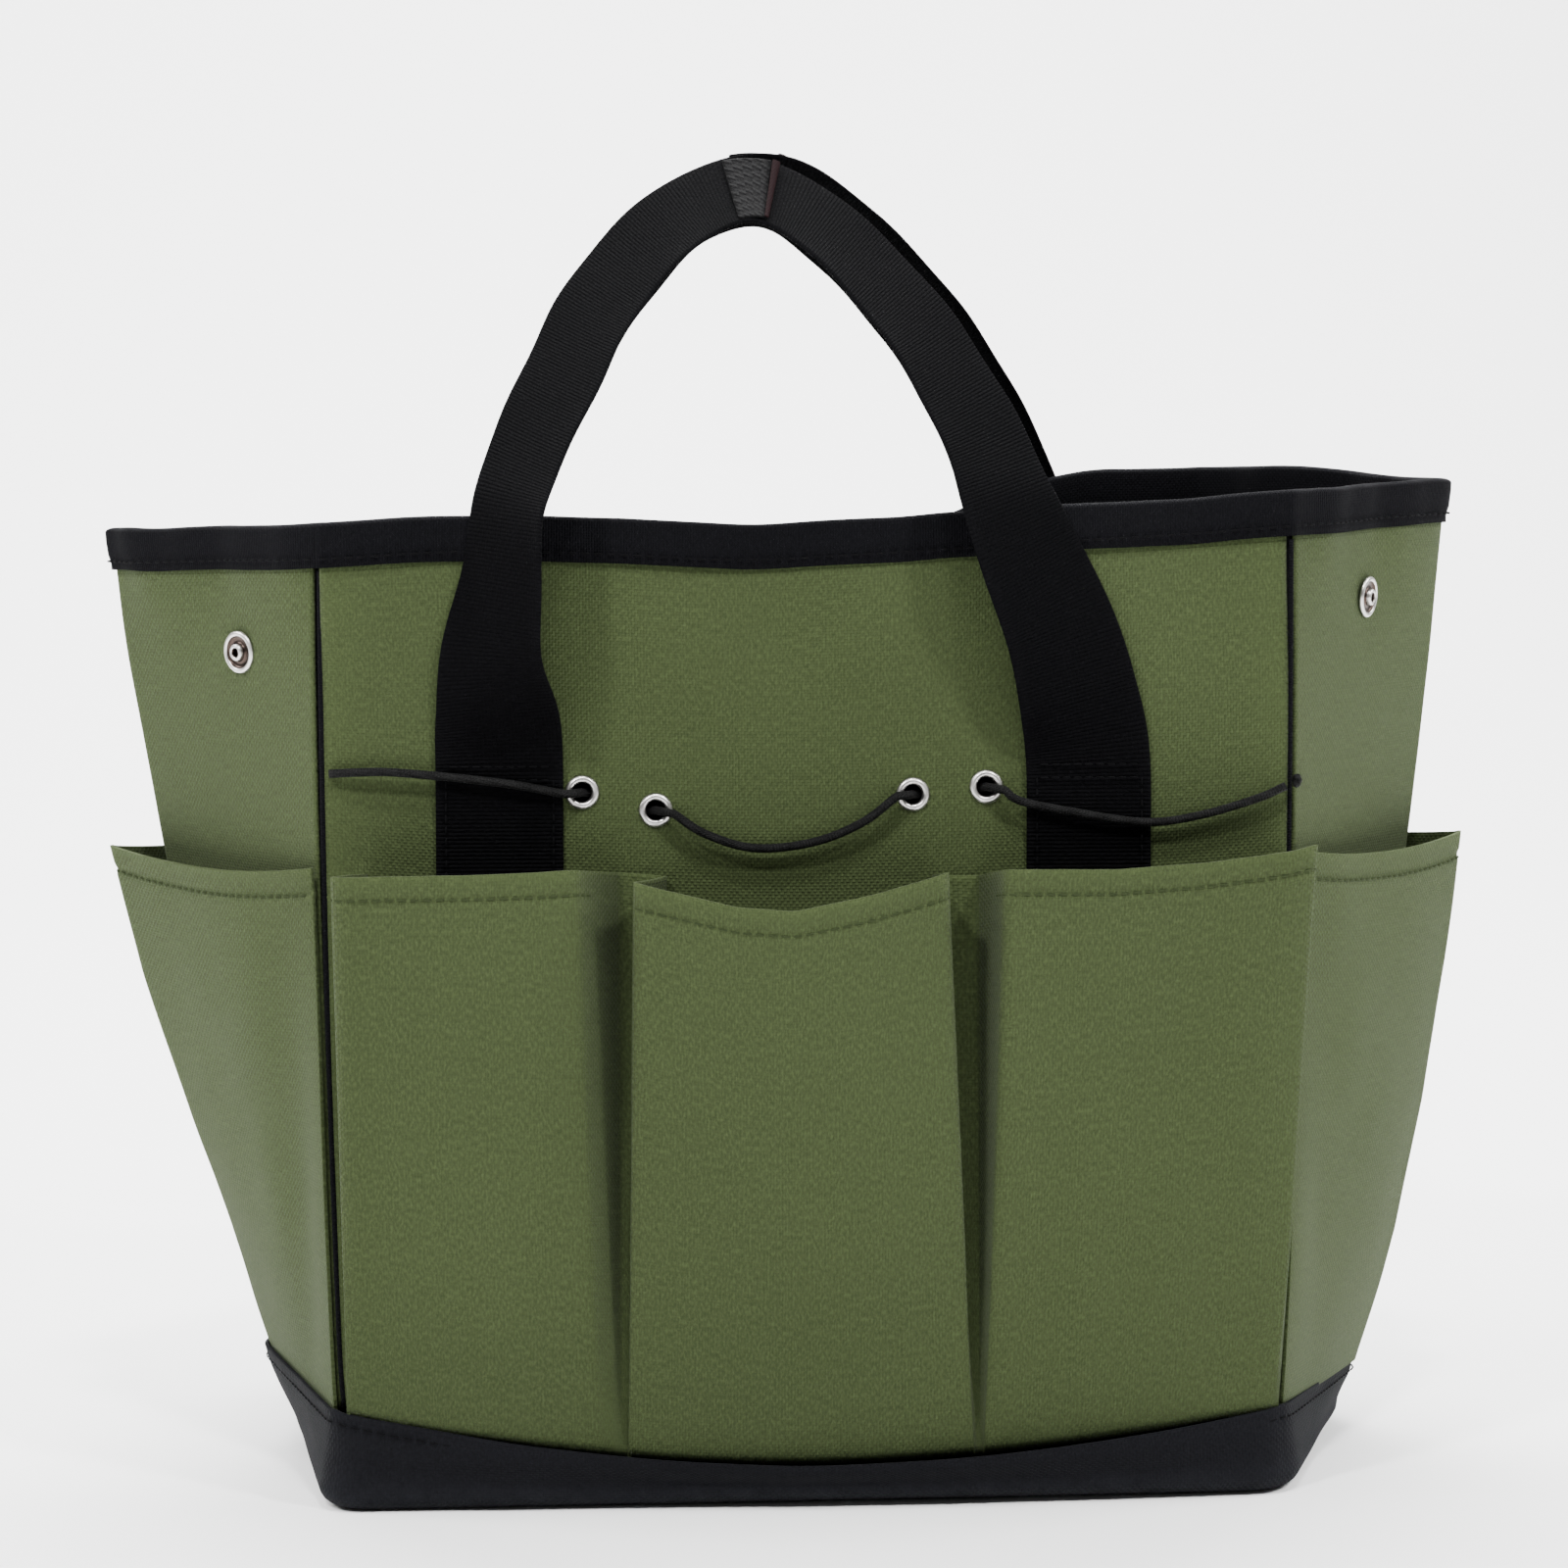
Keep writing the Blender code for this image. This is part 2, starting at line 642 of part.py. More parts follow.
def snap_sites():
    """Place and height of each snap: the front and back half of both gussets."""
    sites = {}
    for end, first in (("right", 1), ("left", 4)):
        share, z = SNAP_PLACES[end]
        near, far = first + share, first + 2 - share
        sites[end + "_front"] = (near if end == "right" else far, z)
        sites[end + "_back"] = (far if end == "right" else near, z)
    return sites


def build_snaps():
    rim = SNAP_R * 1000
    post = SNAP_POST_R * 1000
    stud = mm((1.7, 3.4), (2.6, 3.6), (3.0, 3.0), (2.7, 1.5), (3.6, 1.2), (5.2, 1.3),
              (rim, 1.1), (rim, 0.6), (1.7, 0.6))
    socket = mm((3.2, 1.6), (3.5, 2.3), (4.6, 2.5), (5.6, 1.9), (rim, 1.1), (rim, 0.6),
                (1.7, 0.6), (1.7, 1.2), (3.0, 1.2))
    cap = mm((0, 1.6), (post, 1.6), (post, -2.7), (5.6, -2.7), (6.2, -3.0), (5.4, -3.5),
             (0, -3.8))
    for name, (place, z) in snap_sites().items():
        frame = surface_frame(place, z)
        kind, profile = ("stud", stud) if "front" in name else ("socket", socket)
        turned("%s_snap_%s" % (name, kind), "silver_metal", profile, frame)
        button("%s_snap_cap" % name, "silver_metal", cap, frame, 16)


# Elastic cord
def cord_route():
    """Left seam, over the webbing, in and out of the four eyelets, and to the right seam."""
    route = [front(x, z, out) for x, out, z in CORD_LEFT]
    reach = DIVE[-1][0]
    for number, (x, z) in enumerate(EYELETS):
        outward = number % 2 == 1
        rise = DIVE_RISE["outward" if outward else "inward"]
        dive = [(-dx, out) for dx, out in reversed(DIVE)] if outward else DIVE
        route += [front(x + dx, z + rise * abs(dx) / reach, out) for dx, out in dive]
        if number == 1:
            route += [front(x, z, out) for x, out, z in CORD_SAG]
    return route + [front(x, z, out) for x, out, z in CORD_RIGHT]


def build_cord():
    tube("elastic_cord", "black_cord", run_through(cord_route(), CORD_STEP), CORD_R)
    mesh = bpy.data.meshes.new("cord_knot")
    shape = bmesh.new()
    bmesh.ops.create_uvsphere(shape, u_segments=12, v_segments=8, radius=KNOT_R)
    shape.to_mesh(mesh)
    shape.free()
    knot = add_object("cord_knot", mesh, "black_cord")
    x, out, z = KNOT
    knot.location = front(x, z, out)


clear_scene()
PARTS = new_collection("garden_tool_bag")
CUTTERS = new_collection("cutters")
build_walls()
build_base()
build_floor()
build_binding()
build_piping()
build_pockets()
build_handles()
build_eyelets()
build_snaps()
build_cord()
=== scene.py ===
import math

import bmesh
import bpy
import numpy as np
from mathutils import Matrix, Vector, noise


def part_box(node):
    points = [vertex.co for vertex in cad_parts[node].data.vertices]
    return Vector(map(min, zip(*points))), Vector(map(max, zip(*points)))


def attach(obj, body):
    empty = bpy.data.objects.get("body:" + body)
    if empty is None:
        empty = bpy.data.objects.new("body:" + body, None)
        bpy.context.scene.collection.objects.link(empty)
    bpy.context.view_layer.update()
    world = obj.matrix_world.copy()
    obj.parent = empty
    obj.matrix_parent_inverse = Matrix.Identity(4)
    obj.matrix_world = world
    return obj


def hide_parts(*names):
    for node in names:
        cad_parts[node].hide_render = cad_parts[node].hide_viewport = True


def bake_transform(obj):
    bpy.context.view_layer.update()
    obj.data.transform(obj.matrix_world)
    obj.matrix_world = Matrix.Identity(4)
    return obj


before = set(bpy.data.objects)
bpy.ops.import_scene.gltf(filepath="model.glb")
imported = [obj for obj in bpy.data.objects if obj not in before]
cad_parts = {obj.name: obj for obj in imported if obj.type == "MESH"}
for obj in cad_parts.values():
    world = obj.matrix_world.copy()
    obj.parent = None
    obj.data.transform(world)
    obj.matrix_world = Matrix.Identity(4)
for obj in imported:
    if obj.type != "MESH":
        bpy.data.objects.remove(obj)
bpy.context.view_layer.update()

# Driving sizes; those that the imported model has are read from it. A crease's half width is
# given at the floor, at half height and at the rim.
SEAM_GAP = 0.0015
PANEL_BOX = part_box("front_panel")
RIM_Z = PANEL_BOX[1].z
RIM_HALF_X = PANEL_BOX[1].x + SEAM_GAP
RIM_HALF_Y = 0.075
BASE_HALF_Y = 0.095
BASE_HALF_X = 0.1405
LEFT_CREASE = (0.1572, 0.1908, -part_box("left_gusset")[0].x - 0.0010)
RIGHT_CREASE = (0.1825, 0.1985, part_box("right_gusset")[1].x - 0.0010)
MOUTH_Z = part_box("right_side_pocket")[1].z
WALL_LEAN = (BASE_HALF_Y - RIM_HALF_Y) / RIM_Z
STRIP_MOUTH_Z = 0.1905
HEM_DROP = 0.0072
POCKET_DEEP = 0.033
BAG = "bag"

# Cloth layers, and the clearances between them
PANEL_T = 0.0010
PANEL_GAP = 0.0006
GUSSET_HALF = 0.104
EYELET_HOLE_R = 0.0033
LINING_OUT = -0.0014
LINING_T = 0.0005
LINING_FOOT_Z = 0.006
CORD_ROOM = 0.0056
PIPING_TOP_Z = RIM_Z - 0.0115
POCKET_T = 0.0011
CORNER_ROUND = 0.0022

# Black base cloth: corner rounding and flare at the floor, lower edge, and seam heights
FOOT_ROUND = 0.0110
FOOT_FLARE = 0.0070
FLARE_Z = 0.028
FOOT_R = 0.007
FOOT_BULGE = 0.0055
BASE_T = 0.0012
BASE_PROUD = 0.0036
BASE_LAP = 0.0012
SEAM_MIDDLE_Z = 0.0130
SEAM_CORNER_Z = {"left": 0.0310, "right": 0.0272}
SEAM_CREASE_Z = {"left": 0.0300, "right": 0.0200}


def smoothstep(low, high, value):
    share = np.clip((value - low) / (high - low), 0, 1)
    return share * share * (3 - 2 * share)


def mix(low, high, share):
    return low + (high - low) * share


def unit(vectors):
    return vectors / np.linalg.norm(vectors, axis=-1, keepdims=True)


def travelled(path):
    """The distance from the path's first point to each of its points."""
    steps = np.linalg.norm(np.diff(path, axis=0), axis=1)
    return np.concatenate([[0], np.cumsum(steps)])


# The bag's wall: place 0 to 6 runs front, right gusset, back, left gusset
def half_width(z):
    flare = FOOT_FLARE * (1 - smoothstep(0, FLARE_Z, z))
    return BASE_HALF_X + (RIM_HALF_X - BASE_HALF_X) * (1 - (1 - z / RIM_Z) ** 2) + flare


def half_depth(z):
    return mix(BASE_HALF_Y, RIM_HALF_Y, z / RIM_Z)


def crease_x(crease, z):
    base, middle, rim = crease
    height = z / RIM_Z
    curve = 2 * (base + rim - 2 * middle)
    return base + (rim - base - curve) * height + curve * height ** 2


def plan(z):
    """The wall's six corners at each height, as an array of corner, row and x or y."""
    x, y, none = half_width(z), half_depth(z), np.zeros_like(z)
    left, right = crease_x(LEFT_CREASE, z), crease_x(RIGHT_CREASE, z)
    ring = [(-x, -y), (x, -y), (right, none), (x, y), (-x, y), (-left, none)]
    return np.array([np.column_stack(corner) for corner in ring])


def spread(ring, out):
    """Move each edge of the plan outward and meet them again at the corners."""
    edges = unit(np.roll(ring, -1, axis=0) - ring)
    normals = np.stack([edges[..., 1], -edges[..., 0]], axis=2)
    before = np.roll(normals, 1, axis=0)
    cosine = (normals * before).sum(axis=2, keepdims=True)
    return ring + (normals + before) * np.reshape(out, (1, -1, 1)) / (1 + cosine)


def along_edge(ring, place, shift):
    """The point at each place, moved along the outline by shift metres."""
    rows = np.arange(len(place))
    edge = np.floor(place).astype(int)
    start, end = ring[edge % 6, rows], ring[(edge + 1) % 6, rows]
    length = np.linalg.norm(end - start, axis=1)[:, None]
    shift = np.reshape(shift, (-1, 1))
    share = (place - edge)[:, None] + shift / length
    ahead = unit(ring[(edge + 2) % 6, rows] - end)
    behind = unit(start - ring[(edge - 1) % 6, rows])
    point = start + (end - start) * share
    point = np.where((share > 1) & (shift > 0), end + ahead * (share - 1) * length, point)
    return np.where((share < 0) & (shift < 0), start + behind * share * length, point)


def wall(place, z, out=0.0):
    """Points on the wall, moved outward, with its corners rounded off."""
    place, z, out = [np.array(part, float) for part in np.broadcast_arrays(
        np.atleast_1d(place), np.atleast_1d(z), np.atleast_1d(out))]
    ring = spread(plan(z), out)
    corner = mix(FOOT_ROUND, CORNER_ROUND, smoothstep(0.0, 0.05, z))
    xy = sum(along_edge(ring, place, corner * share) for share in np.linspace(-1, 1, 9)) / 9
    return np.column_stack([xy, z])


# How the standing bag has settled: x, and how much the rim has risen there
FRONT_RIM = ((-0.2187, -0.0074), (-0.1464, -0.0042), (-0.105, -0.0014), (-0.067, -0.0022),
             (-0.02, -0.0050), (0.039, -0.0010), (0.079, 0.0015), (0.125, 0.0040),
             (0.144, 0.0062), (0.2187, 0.0083))
BACK_RIM = ((-0.2187, -0.0074), (-0.15, -0.0125), (-0.05, -0.0130), (0.045, -0.0125),
            (0.075, 0.0018), (0.100, 0.0098), (0.175, 0.0124), (0.2187, 0.0083))


def smooth_curve(table, x, blur=0.016):
    """Read a table of (x, value), with its corners blurred over twice blur metres."""
    xs, values = np.array(table).T
    shifts = np.linspace(-blur, blur, 9)
    return sum(np.interp(x + shift, xs, values) for shift in shifts) / len(shifts)


def settle(points):
    """Lift or drop the upper walls so that the rim follows FRONT_RIM and BACK_RIM."""
    points = np.array(points)
    high = smoothstep(0.205, RIM_Z, points[:, 2]) ** 1.5
    back = smoothstep(-0.05, 0.05, points[:, 1])
    lift = mix(smooth_curve(FRONT_RIM, points[:, 0]), smooth_curve(BACK_RIM, points[:, 0]), back)
    points[:, 2] += high * lift
    return points


def ripple(points, size, seed):
    """Smooth unevenness from -1 to 1; size is the wavelength in metres along x, y and z."""
    offset = Vector((seed * 7.3, seed * 3.1, seed * 5.7))
    scaled = np.asarray(points) / np.asarray(size)
    return np.array([noise.noise(Vector(row) + offset) for row in scaled])


def billow(place, z):
    """Slack in the walls above the pockets; little where the eyelets are."""
    edge = np.floor(place) % 6
    share = place - np.floor(place)
    flat = (edge == 0) | (edge == 3)
    x = (share - 0.5) * 2 * RIM_HALF_X
    high = smoothstep(0.228, 0.275, z)
    crown = np.sin(np.pi * share) ** 0.6 * 0.0016
    crown *= np.sin(np.pi * np.clip((z - 0.232) / (RIM_Z - 0.232), 0, 1)) ** 1.2
    valley = -0.0030 * np.exp(-((x + 0.006 + 0.08 * (RIM_Z - z)) / 0.014) ** 2)
    valley += 0.0018 * np.exp(-((x - 0.026) / 0.020) ** 2)
    valley += 0.0014 * np.exp(-((x + 0.045) / 0.016) ** 2)
    valley -= 0.0022 * np.exp(-((x - 0.118) / 0.022) ** 2)
    wave = 0.0016 * np.sin(place * 11.0 + 0.6) * smoothstep(0.245, RIM_Z, z)
    wave += 0.0005 * np.sin(place * 27.0) * smoothstep(0.27, RIM_Z, z)
    return np.where(flat, crown + valley * high, 0.0) + wave


def seam_z(place):
    """Height of the seam between the base cloth and the walls."""
    edge = np.floor(place) % 6
    share = place - np.floor(place)
    on_left = np.where(edge == 3, share >= 0.5, share < 0.5)
    side = np.where(on_left, SEAM_CORNER_Z["left"], SEAM_CORNER_Z["right"])
    flat = SEAM_MIDDLE_Z + (side - SEAM_MIDDLE_Z) * np.abs(2 * share - 1) ** 1.8
    rise = np.where((edge == 2) | (edge == 5), 1 - share, share)
    corner, crease = [np.where(edge < 3, heights["right"], heights["left"])
                      for heights in (SEAM_CORNER_Z, SEAM_CREASE_Z)]
    gusset = mix(corner, crease, rise)
    return np.where((edge == 0) | (edge == 3), flat, gusset)


# Mesh tools
def new_object(name, mesh):
    item = bpy.data.objects.new(name, mesh)
    bpy.context.scene.collection.objects.link(item)
    return item


def grid_mesh(name, points, columns, rows):
    """Quads over a columns by rows grid of points, with UVs in metres of cloth."""
    grid = points.reshape(columns, rows, 3)
    index = np.arange(columns * rows).reshape(columns, rows)
    quads = np.stack([index[:-1, :-1], index[1:, :-1], index[1:, 1:], index[:-1, 1:]], -1)
    mesh = bpy.data.meshes.new(name)
    mesh.from_pydata(points.tolist(), [], quads.reshape(-1, 4).tolist())
    along = np.linalg.norm(np.diff(grid, axis=0), axis=2).mean(1)
    up = np.linalg.norm(np.diff(grid, axis=1), axis=2).mean(0)
    u = np.concatenate([[0], np.cumsum(along)])
    v = np.concatenate([[0], np.cumsum(up)])
    flat = np.stack(np.meshgrid(u, v, indexing="ij"), -1).reshape(-1, 2)
    loops = np.empty(len(mesh.loops), np.int32)
    mesh.loops.foreach_get("vertex_index", loops)
    layer = mesh.uv_layers.new(name="cloth")
    layer.data.foreach_set("uv", flat[loops].ravel().astype(np.float32))
    mesh.shade_smooth()
    mesh["cut"] = (float(u[-1]), float(v[-1]))
    return mesh


def add_wear(mesh, wear):
    """Store how worn each point is, from 0 to 1, for the woven materials."""
    attribute = mesh.attributes.new("wear", "FLOAT", "POINT")
    attribute.data.foreach_set("value", np.asarray(wear, np.float32))


def bake(item):
    """Turn the modifiers' result into the object's own mesh."""
    depsgraph = bpy.context.evaluated_depsgraph_get()
    mesh = bpy.data.meshes.new_from_object(item.evaluated_get(depsgraph))
    item.modifiers.clear()
    item.data = mesh
    return item


def thicken(item, thickness, bevel=True):
    solidify = item.modifiers.new("thickness", "SOLIDIFY")
    solidify.thickness = thickness
    if bevel:
        edge = item.modifiers.new("edge", "BEVEL")
        edge.width = thickness * 0.3
        edge.segments = 2
        edge.limit_method = "ANGLE"
        edge.angle_limit = math.radians(50)


def corner_places(places, first, last):
    """Add closer columns beside the corners between two places."""
    typical_edge = 0.12
    steps = np.array([0.35, 0.8, 1.3, 1.8, 2.4, 3.2]) * 0.001 / typical_edge
    extra = [corner + np.concatenate([-steps, [0], steps])
             for corner in range(int(first), int(last) + 1)]
    merged = np.unique(np.round(np.concatenate([places] + extra), 6))
    merged = merged[(merged >= places[0]) & (merged <= places[-1])]
    closest = 0.0015
    keep = np.concatenate([[True], np.diff(merged) > closest])
    keep[-1] = True
    return merged[keep]


def ring_places(front, gusset, back):
    """Places right round the bag; the counts are columns for each edge of the plan."""
    places = np.concatenate([even(edge, edge + 1, count)[:-1] for edge, count in
                             enumerate((front, gusset, gusset, back, gusset, gusset))] + [[6.0]])
    return corner_places(places, 0, 6)


def cloth_sheet(name, look, columns, rows, shape, thickness, wear=None, bevel=True):
    """A grid shaped by shape(column, row), with a thickness added inward."""
    item = shaped_grid(name, look, columns, rows, shape, wear)
    thicken(item, thickness, bevel)
    return item


def shaped_grid(name, look, columns, rows, shape, wear=None):
    place, share = [part.ravel() for part in np.meshgrid(columns, rows, indexing="ij")]
    mesh = grid_mesh(name, shape(place, share), len(columns), len(rows))
    item = dressed(name, mesh, look, wear(place, share) if wear else 0.0)
    item["cut"] = mesh["cut"]
    return item


def dressed(name, mesh, look, wear=0.0):
    """An object of the mesh, with its material and its wear."""
    add_wear(mesh, np.broadcast_to(wear, len(mesh.vertices)))
    mesh.materials.append(look)
    return new_object(name, mesh)


def place_piece(item, *nodes, body=BAG, slot="green_canvas"):
    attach(item, body)
    if nodes:
        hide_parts(*nodes)
    return item


def declare_sheet(item):
    """Reads the width and length of the piece's unrolled grid, and does nothing more with them."""
    width, length = item["cut"]


# Materials; a slub is a thicker stretch of thread, and its scales are per metre
SLUB_ACROSS = 1500.0
SLUB_ALONG = 620.0


def shader_node(tree, kind, inputs=(), **settings):
    """A new node; each of its inputs is given another node's output or a plain value."""
    made = tree.nodes.new(kind)
    for key, value in settings.items():
        setattr(made, key, value)
    for key, value in dict(inputs).items():
        socket = made.inputs[key]
        if isinstance(value, bpy.types.NodeSocket):
            tree.links.new(value, socket)
        else:
            socket.default_value = value
    return made


def calc(tree, operation, first, second=0.0):
    made = shader_node(tree, "ShaderNodeMath", {0: first, 1: second}, operation=operation)
    return made.outputs[0]


def times(tree, first, second):
    return calc(tree, "MULTIPLY", first, second)


def blend_colour(tree, share, first, second):
    made = shader_node(tree, "ShaderNodeMix", {0: share, 6: first, 7: second}, data_type="RGBA")
    return made.outputs[2]


def grain(tree, coordinates, scale, detail=2.0):
    made = shader_node(tree, "ShaderNodeTexNoise",
                       {"Vector": coordinates, "Scale": scale, "Detail": detail})
    return made.outputs[0]


def start_material(name, roughness, metallic=0.0, sheen=0.0, specular=0.3):
    material = bpy.data.materials.new(name)
    material.use_nodes = True
    tree = material.node_tree
    shader = tree.nodes["Principled BSDF"]
    shader.inputs["Roughness"].default_value = roughness
    shader.inputs["Metallic"].default_value = metallic
    shader.inputs["Specular IOR Level"].default_value = specular
    shader.inputs["Sheen Weight"].default_value = sheen
    shader.inputs["Sheen Roughness"].default_value = 0.5
    return material, tree, shader


def finish_surface(tree, shader, colour, height, strength, distance):
    bump = shader_node(tree, "ShaderNodeBump", {"Height": height, "Strength": strength,
                                                "Distance": distance})
    tree.links.new(bump.outputs[0], shader.inputs["Normal"])
    tree.links.new(colour, shader.inputs["Base Color"])


def shade(colour, factor):
    return tuple(min(1.0, channel * factor) for channel in colour) + (1.0,)


def woven(name, colour, thread, twill=False, ribs=0.0, roughness=0.9, sheen=0.0, strength=0.5,
          worn=(1.35, 1.35, 1.3), variation=0.12, specular=0.25, slubs=0.5):
    """Cloth with crossing threads; thread is the spacing in metres. ribs is how far the
    lengthways threads stand out, and worn is the tint of rubbed edges."""
    material, tree, shader = start_material(name, roughness, 0.0, sheen, specular)
    uv = shader_node(tree, "ShaderNodeUVMap", uv_map="cloth").outputs[0]
    place = shader_node(tree, "ShaderNodeTexCoord").outputs["Object"]
    parts = shader_node(tree, "ShaderNodeSeparateXYZ", {0: uv}).outputs
    turns = math.pi / thread
    across, along = parts[0], parts[1]
    if twill:
        along = calc(tree, "ADD", times(tree, across, 0.8), along)
    warp = calc(tree, "SINE", times(tree, across, turns))
    weft = calc(tree, "SINE", times(tree, along, turns))
    over = calc(tree, "GREATER_THAN", times(tree, warp, weft), 0.0)
    warp_high = times(tree, calc(tree, "ABSOLUTE", warp), over)
    weft_high = times(tree, calc(tree, "ABSOLUTE", weft), calc(tree, "SUBTRACT", 1.0, over))
    relief = calc(tree, "ADD", warp_high, weft_high)
    if ribs:
        rib = calc(tree, "ABSOLUTE", warp)
        relief = calc(tree, "ADD", times(tree, rib, ribs), times(tree, relief, 1 - ribs))
    stretched = shader_node(tree, "ShaderNodeCombineXYZ", {
        0: times(tree, parts[0], SLUB_ACROSS), 1: times(tree, parts[1], SLUB_ALONG)}).outputs[0]
    slub = grain(tree, stretched, 1.0, 3.0)
    height = calc(tree, "ADD", relief, times(tree, slub, 1.6))
    tone = blend_colour(tree, grain(tree, place, 9.0, 4.0), shade(colour, 1 - variation),
                        shade(colour, 1 + variation))
    for start, full, factor in ((0.42, 0.72, 0.55), (0.5, 0.25, 1.5)):
        share = shader_node(tree, "ShaderNodeMapRange", {"Value": slub, "From Min": start,
                                                         "From Max": full}).outputs[0]
        tone = blend_colour(tree, times(tree, share, slubs), tone, shade(colour, factor))
    # Painted highlight: the raised threads are drawn lighter, as if lit on their tops
    lit = times(tree, relief, 0.35)
    tone = blend_colour(tree, lit, tone, shade(colour, 1.3))
    wear = shader_node(tree, "ShaderNodeAttribute", attribute_name="wear").outputs["Fac"]
    rub = times(tree, wear, grain(tree, place, 160.0, 3.0))
    pale = tuple(channel * gain for channel, gain in zip(colour, worn))
    tone = blend_colour(tree, rub, tone, pale + (1.0,))
    finish_surface(tree, shader, tone, height, strength, thread * 0.35)
    return material


def metal(name, colour):
    material, tree, shader = start_material(name, 0.25, 1.0, 0.0, 0.5)
    place = shader_node(tree, "ShaderNodeTexCoord").outputs["Object"]
    haze = grain(tree, place, 350.0, 4.0)
    marks = grain(tree, place, 1500.0, 2.0)
    tone = blend_colour(tree, haze, shade(colour, 0.72), shade(colour, 1.1))
    rough = shader_node(tree, "ShaderNodeMapRange", {"Value": haze, "To Min": 0.22,
                                                     "To Max": 0.48})
    tree.links.new(rough.outputs[0], shader.inputs["Roughness"])
    finish_surface(tree, shader, tone, marks, 0.15, 0.0001)
    return material


def plain_look(name, colour, spread, relief_scale, tone_scale, detail, roughness, specular,
               strength, distance):
    """Thread or plastic: a tone that varies by spread, and a fine relief."""
    material, tree, shader = start_material(name, roughness, 0.0, 0.0, specular)
    place = shader_node(tree, "ShaderNodeTexCoord").outputs["Object"]
    relief = grain(tree, place, relief_scale, detail)
    tone = blend_colour(tree, grain(tree, place, tone_scale), shade(colour, 1 - spread),
                        shade(colour, 1 + spread))
    finish_surface(tree, shader, tone, relief, strength, distance)
    return material


def thread_look(name, colour):
    return plain_look(name, colour, 0.3, relief_scale=2600.0, tone_scale=2600.0, detail=2.0,
                      roughness=0.85, specular=0.06, strength=0.4, distance=0.0001)


GREEN = (0.0335, 0.0455, 0.0170)
CANVAS = woven("green_canvas", GREEN, 0.0009, strength=0.6, sheen=0.03, specular=0.08,
               variation=0.18, slubs=0.8)
BASE_CLOTH = woven("base_canvas", (0.0047, 0.0049, 0.0060), 0.0010, strength=0.5, sheen=0.01,
                   worn=(2.5, 2.5, 2.5), variation=0.2, specular=0.05)
LINING_CLOTH = woven("lining_cloth", (0.0025, 0.0025, 0.0028), 0.0006, roughness=0.8,
                     strength=0.3, specular=0.06)
BINDING_TAPE = woven("binding_tape", (0.0034, 0.0034, 0.0042), 0.0008, roughness=0.9,
                     ribs=0.5, strength=0.9, worn=(2.0, 2.0, 2.0), specular=0.04)
WEBBING = woven("webbing", (0.0021, 0.0021, 0.0024), 0.0012, ribs=0.7, roughness=0.85,
                strength=0.8, worn=(2.0, 2.0, 2.0), variation=0.2, specular=0.015)
OVERLAP_TAPE = woven("overlap_tape", (0.0030, 0.0030, 0.0032), 0.0024, twill=True,
                     roughness=0.85, strength=0.5, variation=0.3, specular=0.05)
CORD_COVER = woven("cord_cover", (0.0040, 0.0040, 0.0040), 0.0009, twill=True, roughness=0.7,
                   strength=0.9, specular=0.12)
NICKEL = metal("nickel", (0.60, 0.585, 0.56))
# Painted shade: a near-black nickel that stands in for the shade inside the snaps' deep hollows
HOLLOW_SHADE = metal("painted_shade_nickel", (0.055, 0.040, 0.034))
GREEN_THREAD = thread_look("green_thread", (0.0235, 0.0320, 0.0130))
BLACK_THREAD = thread_look("black_thread", (0.0022, 0.0022, 0.0026))
RED_THREAD = thread_look("red_thread", (0.0085, 0.0032, 0.0038))
BOARD = plain_look("board_plastic", (0.10, 0.10, 0.10), 0.15, relief_scale=600.0,
                   tone_scale=20.0, detail=3.0, roughness=0.6, specular=0.4, strength=0.2,
                   distance=0.0002)


# Walls, lining and base
def even(low, high, count):
    return np.linspace(low, high, count)


def wall_shape(place, share):
    z = mix(seam_z(place) + PANEL_GAP, RIM_Z, share)
    base = wall(place, z)
    uneven = ripple(base, (0.05, 0.05, 0.09), 1.0) * 0.0006 * smoothstep(0.24, 0.27, z)
    uneven += ripple(base, (0.018, 0.018, 0.02), 2.0) * 0.00012
    return settle(wall(place, z, billow(place, z) + uneven))


def wall_ends(first, last):
    """The places where a panel starts and stops, a gap short of its corner seams."""
    length = {0: 2 * RIM_HALF_X, 3: 2 * RIM_HALF_X}
    start, end = [PANEL_GAP / length.get(edge, GUSSET_HALF) for edge in (first, last)]
    return first + start, last + 1 - end


def edge_wear(place, share):
    return 0.5 * smoothstep(0.06, 0.0, np.abs(place - np.round(place)))


def punch(item, centres, radius):
    """Cut round holes through a sheet at each (point, normal), and give back the cutters."""
    cutters = []
    for number, (point, normal) in enumerate(centres):
        bpy.ops.mesh.primitive_cylinder_add(radius=radius, depth=0.016, vertices=32,
                                            location=point)
        cutter = bpy.context.object
        cutter.rotation_mode = "QUATERNION"
        cutter.rotation_quaternion = Vector(normal).to_track_quat("Z", "Y")
        cut = item.modifiers.new("hole_%d" % number, "BOOLEAN")
        cut.operation = "DIFFERENCE"
        cut.object = cutter
        cut.solver = "EXACT"
        cutters.append(cutter)
    return cutters


def node_centre(name):
    low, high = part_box(name)
    return (low + high) / 2


